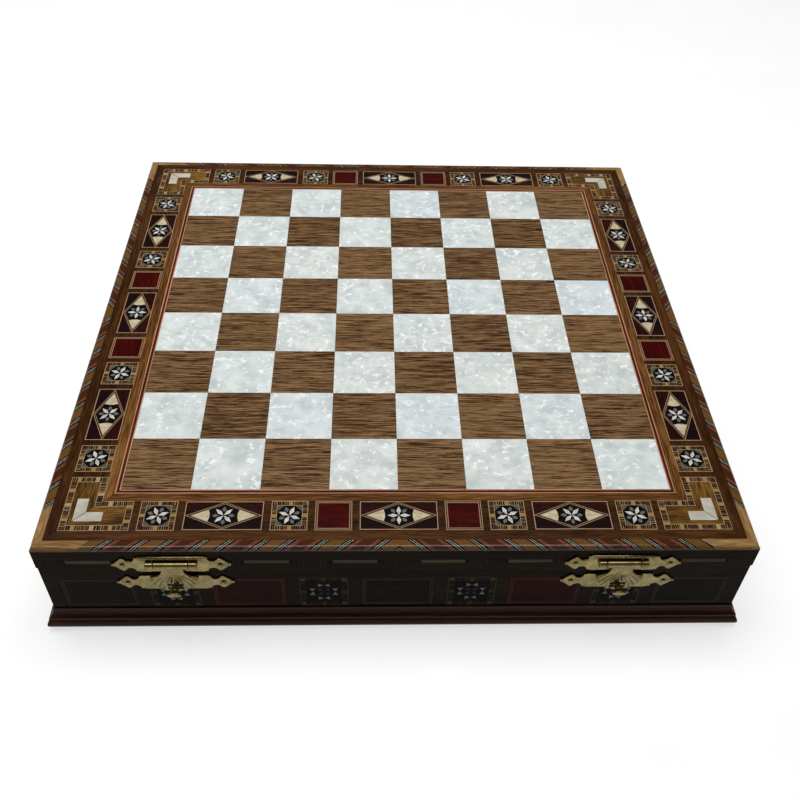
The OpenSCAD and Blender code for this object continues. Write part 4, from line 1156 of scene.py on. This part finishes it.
def corner_tile(draw):
    line, row = CORNER_LINE, CORNER_ROW
    slips = [(angle_outline(0.0), "slip", LINE), (angle_outline(line), "slip", UMBER)]
    a, b, c = 0.05 + line, CORNER_W - line, CORNER_LEG - line
    for upright in (False, True):
        slips += ticks(draw, a, c, a, a + row, pale_blocks(8.0, c, draw), upright)
        slips += ticks(draw, b - row, c, b - row, b, pale_blocks(26.0, c, draw), upright)
        slips += ticks(draw, a, b, c - row, c, pale_blocks(4.5 if upright else 6.5, b, draw), not upright)
    slips.append((angle_outline(line + row), "slip", LINE))
    slips.append((angle_outline(line + row + line), "honey", None))
    near, inner, leg = 6.7, 13.1, 22.8
    slab_outline = [(near, near), (leg, near), (leg, inner), (inner, inner), (inner, leg), (near, leg)]
    slips.append((slab_outline, "slab", None))
    mitre = [(6.7, 6.7), (6.95, 6.7), (13.25, 13.0), (13.1, 13.1), (13.0, 13.25), (6.7, 6.95)]
    slips.append((mitre, "slip", UMBER))
    return slips


corners = Marquetry()
for turn in range(4):
    corners.lay(corner_tile(chance), on_top(turn, -CORNER_AT, -CORNER_AT), INLAY_T)
corners.piece("border_corner_tiles", "lid", "marquetry", "corner_tiles")

# Rope banding round the edge of the lid
# Slanting slips of honey and red-brown wood with fine black, pink and pale lines between them,
# glued up as a bar, cut to length and rounded over; the slant changes hands in the middle of a side.

ROPE_IN = 196.05
ROPE_OUT = 202.0
ROPE_R = 2.2
ROPE_FLAT = 197.6
ROPE_FOOT = 201.9
ROPE_LOW = 71.5
ROPE_JOINT = 177.0
ROPE_LEAN = 7.0 / 6.0
ROPE_GAP = 0.05

PINK = shade(178, 104, 80)
PALE = shade(204, 200, 178)
HONEY = shade(104, 72, 32)
CHESTNUT = shade(66, 35, 14)


rope_slip = dyed(
    "dyed slips of the rope",
    **{"Specular IOR Level": 0.06, "Coat Weight": 0.4, "Coat Roughness": 0.04},
)
lumps = rope_slip.cloud(rope_slip.place(), (1.3, 1.3, 1.3), 1.0)
uneven = rope_slip.node("Bump", {"Height": lumps, "Distance": 0.08 * MM, "Strength": 1.0})
rope_slip.join(rope_slip.surface, {"Normal": uneven.outputs[0], "Coat Normal": uneven.outputs[0]})
INLAYS["rope slip"] = rope_slip

profile = [
    # Distance from the middle and height, from the inner edge over the rounding to the foot
    (ROPE_IN, TOP_Z),
    (ROPE_FLAT, TOP_Z),
    *arc(ROPE_OUT - ROPE_R, TOP_Z - ROPE_R, ROPE_R, 90, 0, 7),
    (ROPE_OUT, ROPE_LOW + 0.1),
]
girth = [0.0]
for first, second in zip(profile, profile[1:]):
    girth.append(girth[-1] + math.dist(first, second))


def rope_place(turn, hand):
    """Placing on the banding: x runs along the edge, y round its profile."""
    spin = quarter(turn)

    def place(x, y, deep):
        share = max(0.0, min(girth[-1], y))
        k = max(i for i in range(len(girth) - 1) if girth[i] <= share + 1e-6)
        part = (share - girth[k]) / (girth[k + 1] - girth[k])
        r = profile[k][0] + part * (profile[k + 1][0] - profile[k][0])
        z = profile[k][1] + part * (profile[k + 1][1] - profile[k][1])
        if deep:
            r, z = ROPE_IN + (ROPE_FOOT - ROPE_IN) * share / girth[-1], ROPE_LOW
        return spin @ Vector((hand * x, -r, z))

    return place


def rope_rows(start, end, colour):
    """One slanting slip from start to end along the outer edge, in rows that follow the profile."""
    rows = []
    for low, high in zip(girth, girth[1:]):
        a, b = [ROPE_LEAN * (y - girth[-1]) for y in (low, high)]
        corners = [(start + a, low), (end + a, low), (end + b, high), (start + b, high)]
        if max(x for x, _ in corners) > ROPE_GAP:
            rows.append((corners, "rope slip", colour))
    return rows


def rope_half(draw):
    """Half a side: the bar's outline cut square in the middle and slanting at the corner block."""
    last = ROPE_JOINT + ROPE_LEAN * (girth[-1] - (ROPE_OUT - ROPE_IN)) - ROPE_GAP
    body = []
    for low, high in zip(girth, girth[1:]):
        a, b = [last + ROPE_LEAN * (y - girth[-1]) for y in (low, high)]
        body.append(([(ROPE_GAP, low), (a, low), (b, high), (ROPE_GAP, high)], "rope slip", HONEY))
    slips, x, forward = [], -4.0, True
    lines = [(0.35, PINK), (1.1, CHESTNUT), (0.35, PINK), (1.1, CHESTNUT)]
    lines += [(1.45, JET), (0.32, PALE), (1.4, JET), (0.32, PALE), (1.45, JET)]
    while x < last:
        for width, colour in lines if forward else lines[::-1]:
            slips += rope_rows(x, min(x + width, last), colour)
            x += width
            if x >= last:
                break
        block = draw.uniform(7.8, 9.2)
        if x < last:
            slips += rope_rows(x, min(x + block, last), HONEY if forward else CHESTNUT)
        x += block
        forward = not forward
    return body, slips


rope = Marquetry()
for turn in range(4):
    for hand in (-1, 1):
        body, slips = rope_half(chance)
        rope.lay(body + slips, rope_place(turn, hand), 1.0, sheets=len(body))
rope.piece("edge_rope_banding", "lid", "rope_inlay", "rope_banding")

block_maple = wood(
    "maple corner blocks",
    ((108, 76, 38), (140, 106, 62), (170, 136, 90), (76, 50, 26)),
    "frame", streak=1.3, length=12.0, open_pores=0.4, gloss=0.2, **TOP_LACQUER,
)
dress(block_maple, "rope_corners")

# Line of inlay on the sides of the lid
# Pale bars and ticked bars by turns, let into a groove half-way up the rails
# and lacquered over with them.

LID_HALF = 202.0
EDGE_Z = 61.75
EDGE_H = 2.8
EDGE_T = 1.15
EDGE_PITCH = 49.3
TICK_HALF = 12.1
EDGE_END = 201.95
EDGE_MITRE = 3.0

smoked_line = wood(
    "pale bars on the sides",
    ((84, 70, 54), (104, 90, 72), (122, 108, 88), (64, 52, 38)),
    "frame", streak=0.7, length=18.0, open_pores=0.3, gloss=0.24, **SIDE_LACQUER,
)
dress(smoked_line, "edge_light_bars")


def mitred_side(turn):
    """Placing on a side of the lid that draws the last bit of a bar in with depth, as a mitre does."""
    side, straight = on_side(turn, LID_HALF, EDGE_Z), EDGE_END - EDGE_MITRE

    def place(x, y, deep):
        past = max(0.0, abs(x) - straight)
        return side(math.copysign(abs(x) - past * deep / EDGE_MITRE, x), y, deep)

    return place


tick_bars = Marquetry()
for turn in range(4):
    for k in range(-4, 5):
        middle = k * EDGE_PITCH
        start = max(-EDGE_END, middle - TICK_HALF)
        end = min(EDGE_END, middle + TICK_HALF)
        low, high = -EDGE_H / 2, EDGE_H / 2
        blocks = [(middle - 11, 2.4, UMBER), (middle + 11, 2.4, UMBER), (middle + 3.0, 2.6, MOSS)]
        blocks = [block for block in blocks if start + 1 < block[0] < end - 1]
        slips = [(rect(start, low, end, high), "side slip", UMBER)]
        slips += ticks(chance, start, end, low, high, blocks, False, "side slip")
        tick_bars.lay(slips, mitred_side(turn), EDGE_T)
tick_bars.piece("edge_ticked_bars", "lid", "rope_inlay", "edge_tick_bars", SMOKE)

# Upper plates of the hasps
# Stamped like the lower ones, with a stepped rib along the top and a window
# for the flap's barrel, which turns on a rod between the plate's own two knuckles.

UPPER_PLATE_Z = 60.8
BARREL_Z = 62.0
BARREL_Y = 204.4
BARREL_R = 2.2
BARREL_L = 19.0
BARREL_EASE = 0.25
KNUCKLE_L = 4.3
MOVE_GAP = 0.3
ROD_R = 0.9

dress(brass, "upper_plate_pins", "hasp_rods")


def barrel(middle, start, end):
    """A rolled barrel along X, with eased ends and a seam line where the sheet closes on itself."""
    points, count, seam_at = [], 28, 19
    rings = [(start, ROD_R + 0.05), (start, BARREL_R - BARREL_EASE), (start + BARREL_EASE, BARREL_R)]
    rings += [(end - BARREL_EASE, BARREL_R), (end, BARREL_R - BARREL_EASE), (end, ROD_R + 0.05)]
    for x, radius in rings:
        for k in range(count):
            turn = math.tau * k / count
            seam = 0.12 if k == seam_at and radius > BARREL_R - 0.5 else 0.0
            y = -BARREL_Y + (radius - seam) * math.cos(turn)
            points.append((middle + x, y, BARREL_Z + (radius - seam) * math.sin(turn)))
    return points, tube(len(rings), count, closed=True), [0.0] * len(points)


def upper_relief(x, y):
    """Two steps up to the rib along the top edge, with painted shade at the foot of each, and a ring round
    each pin.
    """
    along = 1 / (1 + math.exp((abs(x) - 17.2) * 8))
    rib = 0.28 * along * (1 / (1 + math.exp((4.3 - y) * 9)) + 1 / (1 + math.exp((5.3 - y) * 9)))
    # Painted shade along the foot of each step.
    line = 0.9 * along * (ridge(y - 4.15, 0.3) + ridge(y - 5.15, 0.25))
    raised, groove_shade = plate_relief(x, y)
    return rib + raised, max(line, groove_shade)


def divided(outline, count):
    """An outline with each edge cut into count parts."""
    corners = [Vector(spot) for spot in outline]
    edges = list(zip(corners, corners[1:] + corners[:1]))
    return [tuple(a.lerp(b, k / count)) for a, b in edges for k in range(count)]


reach = BARREL_L / 2 + MOVE_GAP
middle_z = BARREL_Z - UPPER_PLATE_Z
window = rect(-reach, middle_z - BARREL_R - MOVE_GAP, reach, middle_z + BARREL_R + MOVE_GAP)
holes = pin_holes + [divided(window, 12)]
for side, hand in HANDS:
    at = on_front(side * HASP_X, LID_HALF, UPPER_PLATE_Z)
    plate = stamped(plate_rim(), holes, PLATE_T, 0.9, upper_relief, at, 0.35)
    ends = [sorted((end * reach, end * (reach + KNUCKLE_L))) for end in (-1, 1)]
    knuckles = [barrel(side * HASP_X, *pair) for pair in ends]
    joined("hasp_upper_plate_" + hand, [plate] + knuckles, "lid", brass, "brass", "upper_plate_" + hand)

# Flaps of the hasps
# A rolled barrel, a neck and a palmette shell stamped in one piece: its ribs fan out from the
# neck to curled ears and a scalloped edge, and a slot passes over the turn knob.

FLAP_BACK = 203.5
FLAP_T = 1.2
NECK_HALF = 6.2
SHELL_Z = 50.8
SHELL_R = 13.9
SLOT_W = 9.0
SLOT_H = 4.8
SLOT_Z = 42.0
FAN_Z = 53.5
SCALLOPS = 5
SCALLOP_STEPS = 5
SCALLOP_DEEP = 0.85


def flap_rim():
    """Right half of the flap's outline from the barrel down, then mirrored."""
    right = [(NECK_HALF, BARREL_Z - 1.6), (NECK_HALF, 56.4)]
    right += [(NECK_HALF + 0.3, 55.0), (NECK_HALF + 1.1, 53.4), (NECK_HALF + 2.6, 52.0)]
    right += [(NECK_HALF + 4.8, 51.2), (12.4, 50.9), (13.3, 50.6)]
    low_r, spots = SHELL_R - SCALLOP_DEEP, SCALLOPS * SCALLOP_STEPS
    for k in range(spots):
        turn = math.radians(-4 - 86 * k / spots)
        radius = low_r + 0.75 * math.sin(math.pi * (k % SCALLOP_STEPS) / SCALLOP_STEPS)
        right.append((radius * math.cos(turn), SHELL_Z + radius * math.sin(turn)))
    right.append((0.0, SHELL_Z - low_r))
    return right + [(-x, z) for x, z in reversed(right[:-1])]


def flap_relief(x, z):
    """Ribs that fan out from the neck, curling to the ears, with painted shade between them, under a plain
    neck and round the slot.
    """
    across, down = abs(x), FAN_Z - z
    spread = math.degrees(math.atan2(across, max(down, 0.05)))
    curl = spread + 3.2 * max(0.0, across - 5.0)
    rib = 0.5 + 0.5 * math.cos(math.radians(curl * 360 / 21.0))
    fan = clamped((down + 1.0) / 4.0)
    away = max(abs(x) - SLOT_W / 2, abs(z - SLOT_Z) - SLOT_H / 2)
    plain = clamped((away - 0.8) / 0.8)
    raised = 0.58 * (rib ** 0.7) * fan * plain + 0.2 * ridge(away - 0.6, 0.45)
    # The second value is painted shade between the ribs.
    return raised, 0.95 * (1 - rib) ** 2.5 * fan * plain


slot_hole = divided(rect(-SLOT_W / 2, SLOT_Z - SLOT_H / 2, SLOT_W / 2, SLOT_Z + SLOT_H / 2), 8)
for side, hand in HANDS:
    at = on_front(side * HASP_X, FLAP_BACK, 0.0)
    shell_plate = stamped(flap_rim(), [slot_hole], FLAP_T, 0.5, flap_relief, at, 0.3)
    rolled = barrel(side * HASP_X, -BARREL_L / 2, BARREL_L / 2)
    joined("hasp_flap_" + hand, [shell_plate, rolled], "flap_" + hand, brass, "brass", "flap_" + hand)

# Floor, light and camera
# A plain pale floor with a rim that rises far off, under one large soft lamp overhead and a little
# behind, with a weak fill all round, seen from where the photograph was taken.

FLOOR_R = 8.0
RISE_R = 3.5
SECTORS = 96
FLOOR_GLOW = 0.66
LAMP_AT = (-0.15, 0.18, 1.45)
LAMP_AIM = (-0.15, 0.18, 0.0)
LAMP_SIZE = (1.4, 0.75)
LAMP_WATTS = 20.7
FILL = 0.15
YAW, PITCH, ROLL = (math.radians(turn) for turn in (2.8811, 44.8357, 2.1863))
CAMERA_AT = (-18.189, -503.414, 489.353)
LENS = 41.45
SENSOR = 36.0

paper = Finish("pale floor", **{"Specular IOR Level": 0.1})
grain = paper.cloud(paper.place(), (60.0, 60.0, 60.0), 2.0)
paper.coat(paper.steps(grain, [(0.3, shade(172, 172, 171)), (0.7, shade(177, 177, 176))]), 0.85)
rays = paper.node("LightPath", {})
seen = paper.sum("MAXIMUM", rays.outputs["Is Camera Ray"], rays.outputs["Is Glossy Ray"])
seen = paper.sum("MAXIMUM", seen, rays.outputs["Is Transmission Ray"])
white = {"Color": (1.0, 1.0, 1.0, 1.0), "Strength": paper.scaled(seen, FLOOR_GLOW)}
white = paper.node("Emission", white)
both = paper.node("AddShader", {0: paper.surface.outputs[0], 1: white.outputs[0]})
paper.tree.links.new(both.outputs[0], paper.tree.nodes["Material Output"].inputs["Surface"])

rises = [math.radians(5 * k) for k in reversed(range(18))]
rings = [(FLOOR_R + RISE_R * math.sin(t), RISE_R * (1 - math.cos(t))) for t in rises]
spots = [(x, y, z) for r, z in rings for x, y in disc(0.0, 0.0, r, SECTORS)]
cells = tube(len(rings), SECTORS)
del cells[-2]
floor_mesh = bpy.data.meshes.new("floor")
floor_mesh.from_pydata(spots, [], cells)
floor_mesh.materials.append(paper.made)
floor_mesh.shade_smooth()
floor = bpy.data.objects.new("floor", floor_mesh)
bpy.context.scene.collection.objects.link(floor)

light = bpy.data.lights.new("overhead lamp", "AREA")
light.shape = "RECTANGLE"
light.size, light.size_y = LAMP_SIZE
light.energy = LAMP_WATTS
lamp = bpy.data.objects.new("overhead lamp", light)
lamp.location = LAMP_AT
lamp.rotation_euler = (Vector(LAMP_AIM) - Vector(LAMP_AT)).to_track_quat("-Z", "Y").to_euler()
bpy.context.scene.collection.objects.link(lamp)

world = bpy.data.worlds.new("room")
world.use_nodes = True
room = world.node_tree.nodes["Background"].inputs
room["Color"].default_value = (1.0, 1.0, 1.0, 1.0)
room["Strength"].default_value = FILL
bpy.context.scene.world = world
bpy.context.scene.view_settings.view_transform = "Standard"

ahead = Vector((math.sin(YAW) * math.cos(PITCH), math.cos(YAW) * math.cos(PITCH), -math.sin(PITCH)))
level = Vector((math.cos(YAW), -math.sin(YAW), 0.0))
above = level.cross(ahead)
right = level * math.cos(ROLL) + above * math.sin(ROLL)
upward = above * math.cos(ROLL) - level * math.sin(ROLL)
lens = bpy.data.cameras.new("camera")
lens.sensor_width = SENSOR
lens.lens = LENS
camera = bpy.data.objects.new("camera", lens)
axes = Matrix((right, upward, -ahead)).transposed().to_4x4()
camera.matrix_world = Matrix.Translation(Vector(CAMERA_AT) * MM) @ axes
bpy.context.scene.collection.objects.link(camera)
bpy.context.scene.camera = camera
